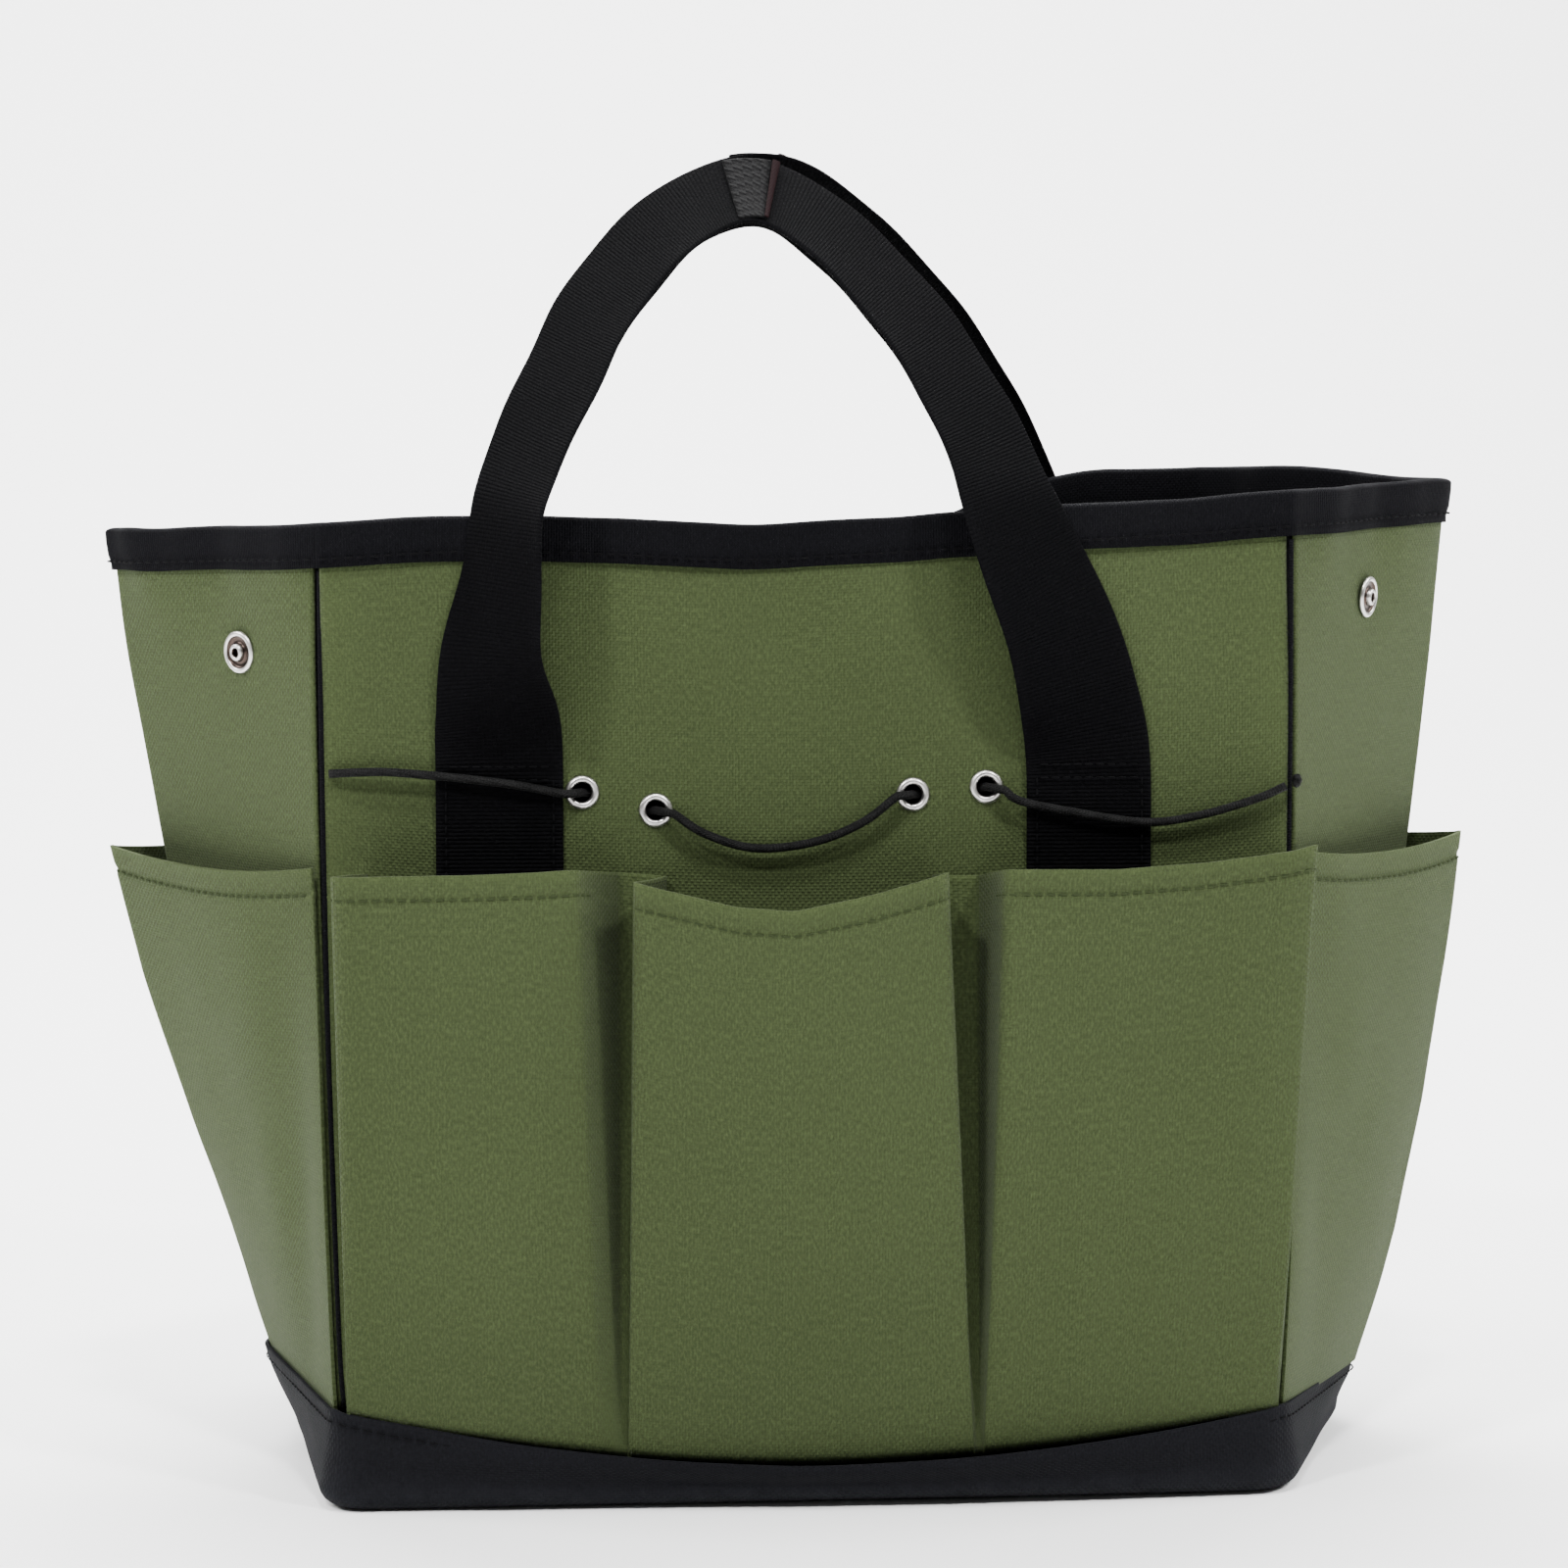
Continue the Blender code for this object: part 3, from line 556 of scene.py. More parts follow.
def build_walls():
    panels = (("cloth_front", "front_panel", 0, 0, 150), ("cloth_back", "back_panel", 3, 3, 90),
              ("cloth_right_gusset", "right_gusset", 1, 2, 90),
              ("cloth_left_gusset", "left_gusset", 4, 5, 90))
    for name, node, first, last, count in panels:
        low, high = wall_ends(first, last)
        places = even(low, high, count)
        if last > first:
            places = corner_places(places, last, last)
        item = cloth_sheet(name, CANVAS, places, even(0, 1, 90),
                           wall_shape, PANEL_T, edge_wear, bevel=False)
        if first == 0:
            normal = Vector((0, -1, WALL_LEAN))
            sites = [(node_centre("eyelet_%d" % number), normal) for number in range(1, 5)]
            cutters = punch(item, sites, EYELET_HOLE_R)
            bake(item)
            for cutter in cutters:
                bpy.data.objects.remove(cutter, do_unlink=True)
        else:
            bake(item)
        declare_sheet(place_piece(item, node))


def cord_room(place, z):
    """The front lining stands in where the cord runs behind the panel."""
    x = (place - 0.5) * 2 * RIM_HALF_X
    room = np.zeros_like(x)
    for left, right in ((1, 2), (3, 4)):
        a, b = node_centre("eyelet_%d" % left), node_centre("eyelet_%d" % right)
        across = np.maximum(0, np.abs(x - (a.x + b.x) / 2) - (b.x - a.x) / 2 - 0.008)
        along = np.maximum(0, np.abs(z - (a.z + b.z) / 2) - 0.012)
        room = np.maximum(room, 1 - np.hypot(across, along) / 0.03)
    inside = (place > 0) & (place < 1)
    return np.where(inside, CORD_ROOM * smoothstep(0, 0.8, room), 0.0)


def build_lining():
    places = ring_places(100, 36, 60)

    def shape(place, share):
        z = mix(LINING_FOOT_Z, RIM_Z, share)
        base = wall(place, z)
        uneven = (ripple(base, (0.03, 0.03, 0.05), 4.0) - 1) * 0.0009
        out = LINING_OUT + billow(place, z) + uneven - cord_room(place, z)
        return settle(wall(place, z, out))
    item = cloth_sheet("lining", LINING_CLOTH, places, even(0, 1, 60), shape, LINING_T,
                       bevel=False)
    weld = item.modifiers.new("join", "WELD")
    weld.merge_threshold = 0.00001
    bake(item)
    place_piece(item, "front_lining", "back_lining", "left_gusset_lining",
                "right_gusset_lining", slot="black_lining")
    declare_sheet(item)
    low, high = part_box("base_lining")

    def floor_shape(u, v):
        x = mix(low.x, high.x, u)
        y = mix(low.y, high.y, v)
        rise = ripple(np.column_stack([x, y, x * 0]), (0.05, 0.05, 1), 5.0) * 0.0004
        return np.column_stack([x, y, high.z + 0.0002 + rise])
    floor = cloth_sheet("floor_lining", LINING_CLOTH, even(0, 1, 60), even(0, 1, 40),
                        floor_shape, LINING_T)
    place_piece(bake(floor), "base_lining", slot="black_lining")
    declare_sheet(floor)


def build_base():
    """Black base cloth: flat floor, round lower edge, walls that lap over the green cloth."""
    places = ring_places(110, 40, 70)
    rows = np.concatenate([even(-1.0, 0.0, 8)[:-1], even(0.0, 1.0, 8)[:-1], even(1.0, 2.0, 20)])

    def shape(place, row):
        turn = np.clip(row, 0, 1) * math.pi / 2
        rise = np.clip(row - 1, 0, 1)
        inner = np.clip(-row, 0, 1)
        z = FOOT_R * (1 - np.cos(turn))
        z = mix(z, seam_z(place) + BASE_LAP, rise)
        out = FOOT_R * (np.sin(turn) - 1) + BASE_PROUD * smoothstep(0.0, 0.8, rise)
        points = wall(place, z, 0.0)
        soft = ripple(points, (0.035, 0.035, 0.014), 7.0) * 0.0010 * smoothstep(0.2, 1.0, row)
        soft *= 1 - 0.7 * smoothstep(0.8, 1.0, rise)
        flat = np.isin(np.floor(place) % 6, (0, 3))
        bulge = FOOT_BULGE * np.sin(np.pi * (place % 1) ** 1.5)
        soft += np.where(flat, bulge, 0.0) * smoothstep(0, 1, row)
        points = wall(place, z, out + soft)
        points[:, :2] *= (1 - 0.35 * inner)[:, None]
        return points

    def wear(place, row):
        return 0.9 * np.exp(-((row - 0.75) / 0.35) ** 2) + 0.35 * edge_wear(place, row)
    item = shaped_grid("base_cloth", BASE_CLOTH, places, rows, shape, wear)
    mesh = item.data
    shell = bmesh.new()
    shell.from_mesh(mesh)
    bmesh.ops.remove_doubles(shell, verts=shell.verts, dist=0.00001)
    rim = [edge for edge in shell.edges
           if edge.is_boundary and all(vert.co.z < 0.001 for vert in edge.verts)]
    bmesh.ops.contextual_create(shell, geom=rim)
    bmesh.ops.recalc_face_normals(shell, faces=shell.faces)
    if min(shell.faces, key=lambda face: face.calc_center_median().z).normal.z > 0:
        bmesh.ops.reverse_faces(shell, faces=shell.faces)
    shell.to_mesh(mesh)
    shell.free()
    thicken(item, BASE_T, bevel=False)
    place_piece(bake(item), "base_tray", slot="black_canvas")


def closed_band(name, look, places, section, shape, wear):
    """Sweep a closed section round the bag: a ring with no ends."""
    section = section + section[:1]
    points = [shape(places, out, height) for out, height in section]
    grid = np.stack(points, axis=1).reshape(-1, 3)
    mesh = grid_mesh(name, grid, len(places), len(section))
    add_wear(mesh, np.tile(wear + wear[:1], len(places)))
    weld_ends(mesh)
    mesh.materials.append(look)
    return new_object(name, mesh)


def weld_ends(mesh, distance=0.000005):
    shell = bmesh.new()
    shell.from_mesh(mesh)
    bmesh.ops.remove_doubles(shell, verts=shell.verts, dist=distance)
    bmesh.ops.holes_fill(shell, edges=[edge for edge in shell.edges if edge.is_boundary])
    bmesh.ops.recalc_face_normals(shell, faces=shell.faces)
    shell.to_mesh(mesh)
    shell.free()
    mesh.shade_smooth()


def build_binding():
    """Ribbed tape folded over the rim, with a rounded fold and puckers at its stitches."""
    drop, half, thick, top = 0.0122, 0.0027, 0.0009, RIM_Z + 0.0015
    turns = even(0, math.pi, 11)
    fold = [(math.cos(turn), math.sin(turn)) for turn in turns]
    sides = (1.0, 0.86, 0.72, 0.6, 0.4, 0.2)
    outer = [(half, -drop * share) for share in sides]
    outer += [(half * x, half * 0.55 * y) for x, y in fold]
    outer += [(-half, -drop * share) for share in sides[::-1]]
    near = half - thick
    inner = [(-near, -drop * share) for share in sides]
    inner += [(-near * x, near * 0.4 * y) for x, y in fold]
    inner += [(near, -drop * share) for share in sides[::-1]]
    section = outer + inner
    wear = [0.7 if abs(out) < half * 0.9 and height > -0.001 else 0.0 for out, height in section]

    def shape(place, out, height):
        z = np.full_like(place, min(top + height, RIM_Z))
        side = 1 if out > 0 else -1
        base = wall(place, z)
        soft = ripple(base, (0.020, 0.020, 1.0), 9.0)
        pucker = ripple(base, (0.0035, 0.0035, 1.0), 10.0)
        hem = math.exp(-((height + drop * 0.80) / 0.0016) ** 2)
        swell = 0.0004 * soft + 0.00022 * pucker * hem - 0.0004 * hem
        swell -= 0.0003 * math.exp(-((height + drop) / 0.002) ** 2)
        points = settle(wall(place, z, -0.0012 + out + side * swell + billow(place, z)))
        points[:, 2] += top + height - z[0] + 0.0005 * soft + 0.0002 * pucker * hem
        return points
    item = closed_band("binding", BINDING_TAPE, ring_places(240, 90, 150), section, shape, wear)
    place_piece(item, "rim_binding", slot="black_binding")


def tube_mesh(name, path, radius, sides=10):
    """A round tube along a path, with UVs in metres and closed ends."""
    path = np.asarray(path)
    ahead = unit(np.gradient(path, axis=0))
    normals = [unit(np.cross(ahead[0], (0.31, 0.17, 0.93)))]
    for direction in ahead[1:]:
        normals.append(unit(normals[-1] - direction * np.dot(normals[-1], direction)))
    normals = np.array(normals)
    binormals = np.cross(ahead, normals)
    angles = np.linspace(0, 2 * math.pi, sides + 1)
    ring = (normals[:, None] * np.cos(angles)[None, :, None]
            + binormals[:, None] * np.sin(angles)[None, :, None])
    points = (path[:, None] + ring * np.reshape(radius, (-1, 1, 1))).reshape(-1, 3)
    mesh = grid_mesh(name, points, len(path), sides + 1)
    weld_ends(mesh)
    return mesh


def build_piping():
    names = {0: "front_left", 1: "front_right", 3: "back_right", 4: "back_left"}
    for place, name in names.items():
        z = even(float(seam_z(np.array([place + 0.0]))[0]) + 0.001, PIPING_TOP_Z, 60)
        radius = 0.0009 if "left" in name else 0.0007
        path = settle(wall(np.full_like(z, place), z, 0.0007 - radius))
        mesh = tube_mesh(name + "_cord_piping", path, radius, 8)
        item = dressed(name + "_cord_piping", mesh, BINDING_TAPE)
        place_piece(item, name + "_piping", slot="black_binding")


# Pockets
# One column each: x at the foot, x at the mouth, share of the full depth, mouth height
FRONT_STRIP = (
    (-0.1400, -0.1340, 0.00, 0.0012), (-0.1400, -0.1385, 0.45, 0.0016),
    (-0.1396, -0.1438, 0.90, 0.0016), (-0.1375, -0.1410, 0.99, 0.0014),
    (-0.1080, -0.1050, 1.03, 0.0018), (-0.0800, -0.0830, 1.02, 0.0026),
    (-0.0650, -0.0715, 0.90, 0.0032), (-0.0600, -0.0640, 0.45, 0.0020),
    (-0.0580, -0.0575, 0.05, 0.0012), (-0.0560, -0.0440, 0.02, 0.0000),
    (-0.0562, -0.0490, 0.45, -0.0004), (-0.0560, -0.0558, 0.93, -0.0004),
    (-0.0540, -0.0530, 1.00, -0.0012), (-0.0250, -0.0250, 1.06, -0.0080),
    (-0.0050, -0.0080, 1.08, -0.0094), (0.0200, 0.0160, 1.06, -0.0045),
    (0.0460, 0.0360, 1.00, 0.0010), (0.0488, 0.0384, 0.94, 0.0018),
    (0.0492, 0.0372, 0.45, 0.0006), (0.0500, 0.0370, 0.04, -0.0002),
    (0.0506, 0.0500, 0.03, -0.0006), (0.0512, 0.0528, 0.40, 0.0010),
    (0.0516, 0.0545, 0.93, 0.0024), (0.0535, 0.0570, 1.00, 0.0024),
    (0.0850, 0.0880, 1.02, 0.0022), (0.1100, 0.1150, 1.01, 0.0040),
    (0.1330, 0.1400, 0.99, 0.0072), (0.1405, 0.1485, 0.93, 0.0092),
    (0.1420, 0.1492, 0.45, 0.0075), (0.1420, 0.1455, 0.00, 0.0050),
)


def hem_dip(z, mouth):
    """How far the row of stitches pulls the cloth in, below the mouth."""
    return 0.0005 * np.exp(-((z - mouth + HEM_DROP) / 0.0011) ** 2)


def rounded(values, passes):
    """Average each value with its neighbours, a number of times; the ends stay."""
    values = np.array(values)
    for _ in range(passes):
        values[1:-1] = (values[:-2] + 2 * values[1:-1] + values[2:]) / 4
    return values


def strip_columns(table, spacing):
    """Resample the columns evenly along the mouth, with soft corners."""
    table = np.array(table)
    line = np.column_stack([table[:, 1], table[:, 2] * POCKET_DEEP])
    travel = travelled(line)
    count = int(travel[-1] / spacing)
    at = np.linspace(0, travel[-1], count)
    return rounded(np.column_stack([np.interp(at, travel, table[:, k]) for k in range(4)]), 3)


def pocket_strip(name, node, turn, seed):
    """Three pleated pockets on the front (turn 1) or on the back (turn -1)."""
    columns = strip_columns(FRONT_STRIP, 0.0013)
    index = np.arange(len(columns))
    rows = np.concatenate([even(0, 0.93, 60)[:-1], even(0.93, 1.0, 14)])

    def shape(column, share):
        x_foot, x_mouth, depth, rise = columns[column.astype(int)].T
        x = mix(x_foot, x_mouth, share ** 0.9)
        place = np.clip(0.5 + x_foot / (2 * half_width(0.03)), 0.004, 0.996)
        low = seam_z(place) + 0.0002
        z = mix(low, STRIP_MOUTH_Z + rise, share)
        swell = share ** 0.82
        out = 0.0016 + (POCKET_DEEP - 0.0016) * swell * depth * 0.97
        out += 0.0010 * (1 - share)
        flat = np.column_stack([x, -half_depth(z), z])
        soft = ripple(flat, (0.045, 1, 0.13), seed) * 0.0044
        soft += ripple(flat, (0.018, 1, 0.040), seed + 1) * 0.0009
        soft *= smoothstep(0.1, 0.9, depth) * smoothstep(0, 0.25, share)
        hem = hem_dip(z, STRIP_MOUTH_Z + rise)
        pucker = ripple(flat, (0.006, 1, 0.012), seed + 2) * 0.0003 * (share > 0.9)
        out = out + soft - hem * (depth > 0.3) + pucker
        points = np.column_stack([x, -half_depth(z) - out, z + out * WALL_LEAN])
        return points * (turn, turn, 1)

    def wear(column, share):
        return 0.8 * smoothstep(0.975, 1.0, share)
    item = cloth_sheet(name, CANVAS, index, rows, shape, POCKET_T, wear, bevel=False)
    declare_sheet(place_piece(bake(item), node))
    return columns, shape


# Rise of the mouth at the three seams of the gusset, in the order of their places
RIGHT_RISES = (0.0065, 0.0030, 0.0030)
LEFT_RISES = (0.0010, 0.0010, 0.0030)
# The crease's distance from the gusset, at each quarter of the height from foot to mouth
RIGHT_STANDS = (0.0045, 0.0112, 0.0144, 0.0152, 0.0152)
LEFT_STANDS = (0.002, 0.0044, 0.0082, 0.0127, 0.0151)


def side_pocket(name, node, first, rises, stands, dent, seed):
    """A pocket on the gusset from place first; dent is the hollow beside its front seam."""
    front_seam = 1 if first == 1 else 6
    crease = first + 1
    places = corner_places(even(first + 0.03, first + 1.97, 130), crease, crease)
    rows = np.concatenate([even(0, 0.93, 50)[:-1], even(0.93, 1.0, 12)])

    def mouth_at(place):
        across = place - first
        rise = np.interp(across, (0, 1, 2), rises)
        return MOUTH_Z + rise - 0.0035 * np.abs(np.sin(np.pi * across)) ** 0.8

    def shape(place, share):
        ridge = 1 - np.abs(place - crease)
        mouth = mouth_at(place)
        z = mix(seam_z(place) + 0.0002, mouth, share)
        full = np.interp(share, (0, 0.25, 0.5, 0.75, 1.0), stands)
        base = wall(place, z)
        soft = ripple(base, (0.05, 0.05, 0.10), seed) * 0.0018
        soft += ripple(base, (0.02, 0.02, 0.03), seed + 1) * 0.0005
        soft *= smoothstep(0.02, 0.3, ridge) * smoothstep(0, 0.25, share)
        hollow = (np.abs(place - front_seam) - mix(0.34, 0.12, share)) / 0.15
        soft -= dent * np.exp(-hollow ** 2) * np.sin(np.pi * np.clip(share, 0, 1)) ** 0.7
        hem = hem_dip(z, mouth)
        out = mix(0.0018, full, np.clip(ridge, 0, 1) ** 0.6) + soft - hem
        return wall(place, z, out)

    def wear(place, share):
        fold = 0.6 * smoothstep(0.05, 0.0, np.abs(place - crease))
        return 0.8 * smoothstep(0.975, 1.0, share) + fold
    item = cloth_sheet(name, CANVAS, places, rows, shape, POCKET_T, wear)
    declare_sheet(place_piece(bake(item), node))
    return shape


# Handles: the centre line of the webbing repeats the CAD route
FRONT_LOOP = (
    (-0.0946, None, 0.2410, 22), (-0.0966, None, 0.2541, 38), (-0.0946, None, 0.2715, 48),
    (-0.0922, None, 0.2874, 57), (-0.0912, None, 0.3003, 58), (-0.0886, 0.0860, 0.3103, 57),
    (-0.0750, 0.0670, 0.3385, 54), (-0.0616, 0.0480, 0.3636, 54), (-0.0445, 0.0330, 0.3834, 55),
    (-0.0300, 0.0235, 0.3944, 56), (-0.0144, 0.0185, 0.3990, 56), (-0.0006, 0.0225, 0.3944, 56),
    (0.0122, 0.0310, 0.3836, 54), (0.0313, 0.0480, 0.3617, 51), (0.0452, 0.0660, 0.3378, 47),
    (0.0540, 0.0790, 0.3175, 43), (0.0582, None, 0.3032, 37), (0.0640, None, 0.2872, 30),
    (0.0726, None, 0.2710, 24), (0.0780, None, 0.2533, 16), (0.0812, None, 0.2400, 9),
)
BACK_LOOP = (
    (-0.0893, None, 0.2400, 16), (-0.0895, None, 0.2541, 34), (-0.0890, None, 0.2700, 44),
    (-0.0884, None, 0.2860, 52), (-0.0872, None, 0.3000, 54), (-0.0850, 0.0860, 0.3079, 54),
    (-0.0704, 0.0670, 0.3391, 54), (-0.0561, 0.0480, 0.3645, 54), (-0.0401, 0.0330, 0.3853, 55),
    (-0.0265, 0.0235, 0.3963, 56), (-0.0110, 0.0185, 0.4011, 56), (0.0042, 0.0225, 0.3977, 55),
    (0.0193, 0.0310, 0.3872, 54), (0.0437, 0.0480, 0.3650, 51), (0.0639, 0.0660, 0.3395, 47),
    (0.0773, 0.0790, 0.3165, 42), (0.0845, None, 0.3010, 36), (0.0880, None, 0.2860, 30),
    (0.0890, None, 0.2700, 22), (0.0890, None, 0.2541, 14), (0.0890, None, 0.2400, 8),
)
STRAP_WIDTH = 0.038
STRAP_T = 0.0016
STRAP_OUT = 0.0012
STRAP_CLEAR = 0.0018
HINGE_Z = 0.2270


def smooth_path(guides, spacing):
    """Points along a Catmull-Rom curve from the second guide to the last but one."""
    guides = np.asarray(guides, float)
    path = []
    for index in range(1, len(guides) - 2):
        before, start, end, after = guides[index - 1:index + 3]
        pieces = max(1, round(np.linalg.norm((end - start)[:3]) / spacing))
        for piece in range(pieces):
            t = piece / pieces
            path.append(0.5 * (2 * start + (end - before) * t
                               + (2 * before - 5 * start + 4 * end - after) * t ** 2
                               + (3 * start - before - 3 * end + after) * t ** 3))
    return np.array(path + [guides[-2]])


def handle_route(loop, feet, side):
    rows = []

    def foot(x, heights):
        return [(x, half_depth(z) + STRAP_OUT, z, 0) for z in heights]
    heights = (0.146, 0.150, 0.170, 0.195, 0.215, HINGE_Z, HINGE_Z + 0.005)
    rows += foot(feet[0], heights)
    for x, away, z, twist in loop:
        if away is None:
            edge = math.sin(math.radians(twist)) * STRAP_WIDTH / 2
            away = half_depth(z) + STRAP_OUT + STRAP_CLEAR + edge
        rows.append((x, away, z, twist))
    rows += foot(feet[1], heights[::-1])
    path = smooth_path([(x, side * away, z, twist) for x, away, z, twist in rows], 0.0022)
    return np.column_stack([rounded(path[:, k], 26) for k in range(4)])


def ribbon_frame(route, side):
    centres = route[:, :3]
    ahead = unit(np.gradient(centres, axis=0))
    level = unit(ahead * (1, 0, 1))
    inward = np.column_stack([level[:, 2], np.zeros(len(level)), -level[:, 0]])
    twist = np.radians(route[:, 3])[:, None]
    width = inward * np.cos(twist) + np.array([0, side, 0]) * np.sin(twist)
    return centres, width, unit(np.cross(ahead, width))


def ribbon(name, look, route, side, half_width_m, thickness, lift, seed):
    """Flat webbing with rounded, slightly waved edges."""
    centres, width, face = ribbon_frame(route, side)
    across = np.concatenate([np.linspace(-1, -0.9, 4)[:-1], np.linspace(-0.9, 0.9, 15),
                             np.linspace(0.9, 1, 4)[1:]])
    count = len(across)
    swell = np.sqrt(np.clip(1 - np.clip((np.abs(across) - 0.94) / 0.06, 0, 1) ** 2, 0.04, 1))
    mesh_points = []
    for sign in (1, -1):
        order = across if sign == 1 else across[::-1]
        thick = swell if sign == 1 else swell[::-1]
        curl = 0.0006 * (1 - order ** 2)
        wave = 0.0004 * np.sin(np.arange(len(centres)) * 0.35 + seed)
        edge_wave = wave[:, None] * np.abs(order)[None, :] ** 3
        offset = lift + curl[None, :] + sign * thickness / 2 * thick[None, :] + edge_wave
        mesh_points.append(centres[:, None] + width[:, None] * (order * half_width_m)[None, :, None]
                           + face[:, None] * offset[:, :, None])
    grid = np.concatenate(mesh_points + [mesh_points[0][:, :1]], axis=1)
    mesh = grid_mesh(name, grid.reshape(-1, 3), len(centres), 2 * count + 1)
    add_wear(mesh, np.tile(np.concatenate([np.abs(across) ** 12] * 2 + [[1.0]]), len(centres)))
    weld_ends(mesh)
    mesh.materials.append(look)
    return new_object(name, mesh)


def build_handles():
    for name, loop, side in (("front_handle", FRONT_LOOP, -1), ("back_handle", BACK_LOOP, 1)):
        feet = [node_centre(name + end).x for end in ("_left_end", "_right_end")]
        route = handle_route(loop, feet, side)
        strap = ribbon(name + "_webbing", WEBBING, route, side, STRAP_WIDTH / 2, STRAP_T, 0.0,
                       1.0 + side)
        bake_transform(strap)
        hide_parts(name, name + "_left_end", name + "_right_end")
        build_join(name, route, side)


def build_join(name, route, side):
    """Where the two ends of the webbing overlap at the top, and its bar of red stitches."""
    top = int(np.argmax(route[:, 2]))
    out = STRAP_T / 2 + 0.0005
    patch = ribbon(name + "_overlap", OVERLAP_TAPE, route[top - 3:top + 4], side,
                   STRAP_WIDTH / 2 - 0.0012, 0.0009, side * out, 2.0)
    place_piece(patch, body=name, slot="black_webbing")
    centres, width, face = ribbon_frame(route[top + 2:top + 6], side)
    face = face * side * (out + 0.0010)
    lines = []
    for share in even(-0.90, 0.90, 42):
        across = share * STRAP_WIDTH / 2
        start = centres[1] + width[1] * across + face[1]
        lines.append((start, centres[2] + width[2] * (across + 0.0005) + face[2]))
    bar = stitches(name + "_bar_stitches", RED_THREAD, lines, 0.0004)
    place_piece(bar, body=name, slot="black_webbing")


# Stitching: each seam's stitch length, gap and thread radius
HEM_SEAM = (0.0026, 0.0011, 0.00033)
RIM_SEAM = (0.0027, 0.0012, 0.00034)
BASE_SEAM = (0.0028, 0.0012, 0.00032)
STRAP_SEAM = (0.0024, 0.0010, 0.0003)


def stitches(name, look, lines, radius):
    """Each stitch is a short thread from one point to the other, tapering into the cloth."""
    profile = ((0.0, 0.35), (0.15, 0.9), (0.5, 1.0), (0.85, 0.9), (1.0, 0.35))
    sides = 6
    verts, faces = [], []
    for start, end in lines:
        start, end = Vector(start), Vector(end)
        ahead = (end - start).normalized()
        first = ahead.orthogonal().normalized()
        second = ahead.cross(first)
        base = len(verts)
        for share, size in profile:
            centre = start.lerp(end, share)
            for corner in range(sides):
                angle = 2 * math.pi * corner / sides
                verts.append(centre + (first * math.cos(angle) + second * math.sin(angle))
                             * radius * size)
        for ring in range(len(profile) - 1):
            for corner in range(sides):
                near, far = base + ring * sides, base + (ring + 1) * sides
                after = (corner + 1) % sides
                faces.append((near + corner, near + after, far + after, far + corner))
        faces.append(tuple(base + corner for corner in range(sides - 1, -1, -1)))
        last = base + (len(profile) - 1) * sides
        faces.append(tuple(last + corner for corner in range(sides)))
    mesh = bpy.data.meshes.new(name)
    mesh.from_pydata([tuple(vert) for vert in verts], [], faces)
    mesh.shade_smooth()
    mesh.materials.append(look)
    return new_object(name, mesh)


def dashes(path, length, gap):
    """Cut a dense path into stitches."""
    path = np.asarray(path)
    travel = travelled(path)
    starts = np.arange(gap, travel[-1] - length, length + gap)

    def at(distance):
        return np.array([np.interp(distance, travel, path[:, k]) for k in range(3)])
    return [(at(start), at(start + length)) for start in starts]


def sew(name, look, paths, seam, slot="green_canvas"):
    length, gap, radius = seam
    lines = [line for path in paths for line in dashes(path, length, gap)]
    place_piece(stitches(name, look, lines, radius), slot=slot)


def build_pocket_stitches(name, columns, shape, turn):
    """Stitch the hem of each pocket face; the pleats between them have none."""
    paths = []
    index = np.arange(len(columns))
    depth = columns[:, 2]
    face = depth > 0.55
    runs = np.split(index, np.where(np.diff(face.astype(int)) != 0)[0] + 1)
    for run in runs:
        if not face[run[0]] or len(run) < 8:
            continue
        height = columns[run, 3] + STRIP_MOUTH_Z - 0.02
        share = 1 - HEM_DROP / height
        paths.append(shape(run.astype(float), share) - np.array([0, 0.00025 * turn, 0]))
    sew(name, GREEN_THREAD, paths, HEM_SEAM)


def build_side_stitches(name, shape, first):
    places = even(first + 0.035, first + 1.965, 200)
    pocket_height = 0.15
    share = np.full_like(places, 1 - HEM_DROP / pocket_height)
    path = shape(places, share)
    away = np.where(path[:, :1] > 0, 1, -1) * np.array([[0.0003, 0, 0]])
    away[:, 1] = np.sign(path[:, 1]) * 0.00015
    sew(name, GREEN_THREAD, [path + away], HEM_SEAM)


def build_rim_stitches():
    """One row of stitches shows on both faces of the binding."""
    below_rim = 0.0078
    for name, out in (("rim_stitches_outer", 0.00195), ("rim_stitches_inner", -0.0046)):
        places = even(0, 6, 1600)
        z = np.full_like(places, RIM_Z - below_rim)
        path = settle(wall(places, z, out + billow(places, z)))
        sew(name, BLACK_THREAD, [path], RIM_SEAM, "black_binding")


def build_base_stitches():
    places = even(0, 6, 1500)
    z = seam_z(places) - 0.0025
    path = wall(places, z, 0.0040)
    sew("base_stitches", BLACK_THREAD, [path], BASE_SEAM, "black_canvas")


def build_strap_stitches():
    """Two rows across each sewn end of the webbing, and one down each of its edges."""
    half = STRAP_WIDTH / 2 - 0.003
    low, cross_rows = 0.155, (0.2195, 0.2235)
    for name, side in (("front_handle", -1), ("back_handle", 1)):
        paths = []
        for end in ("_left_end", "_right_end"):
            x = node_centre(name + end).x
            rows = [(even(x - half, x + half, 40), np.full(40, z), 0.00072) for z in cross_rows]
            rows += [(np.full(40, x + edge), even(low, cross_rows[0], 40), 0.00045)
                     for edge in (-half, half)]
            for xs, zs, lift in rows:
                ys = side * (half_depth(zs) + STRAP_OUT + STRAP_T / 2 + lift)
                paths.append(np.column_stack([xs, ys, zs]))
        sew(name + "_foot_stitches", BLACK_THREAD, paths, STRAP_SEAM, "black_webbing")


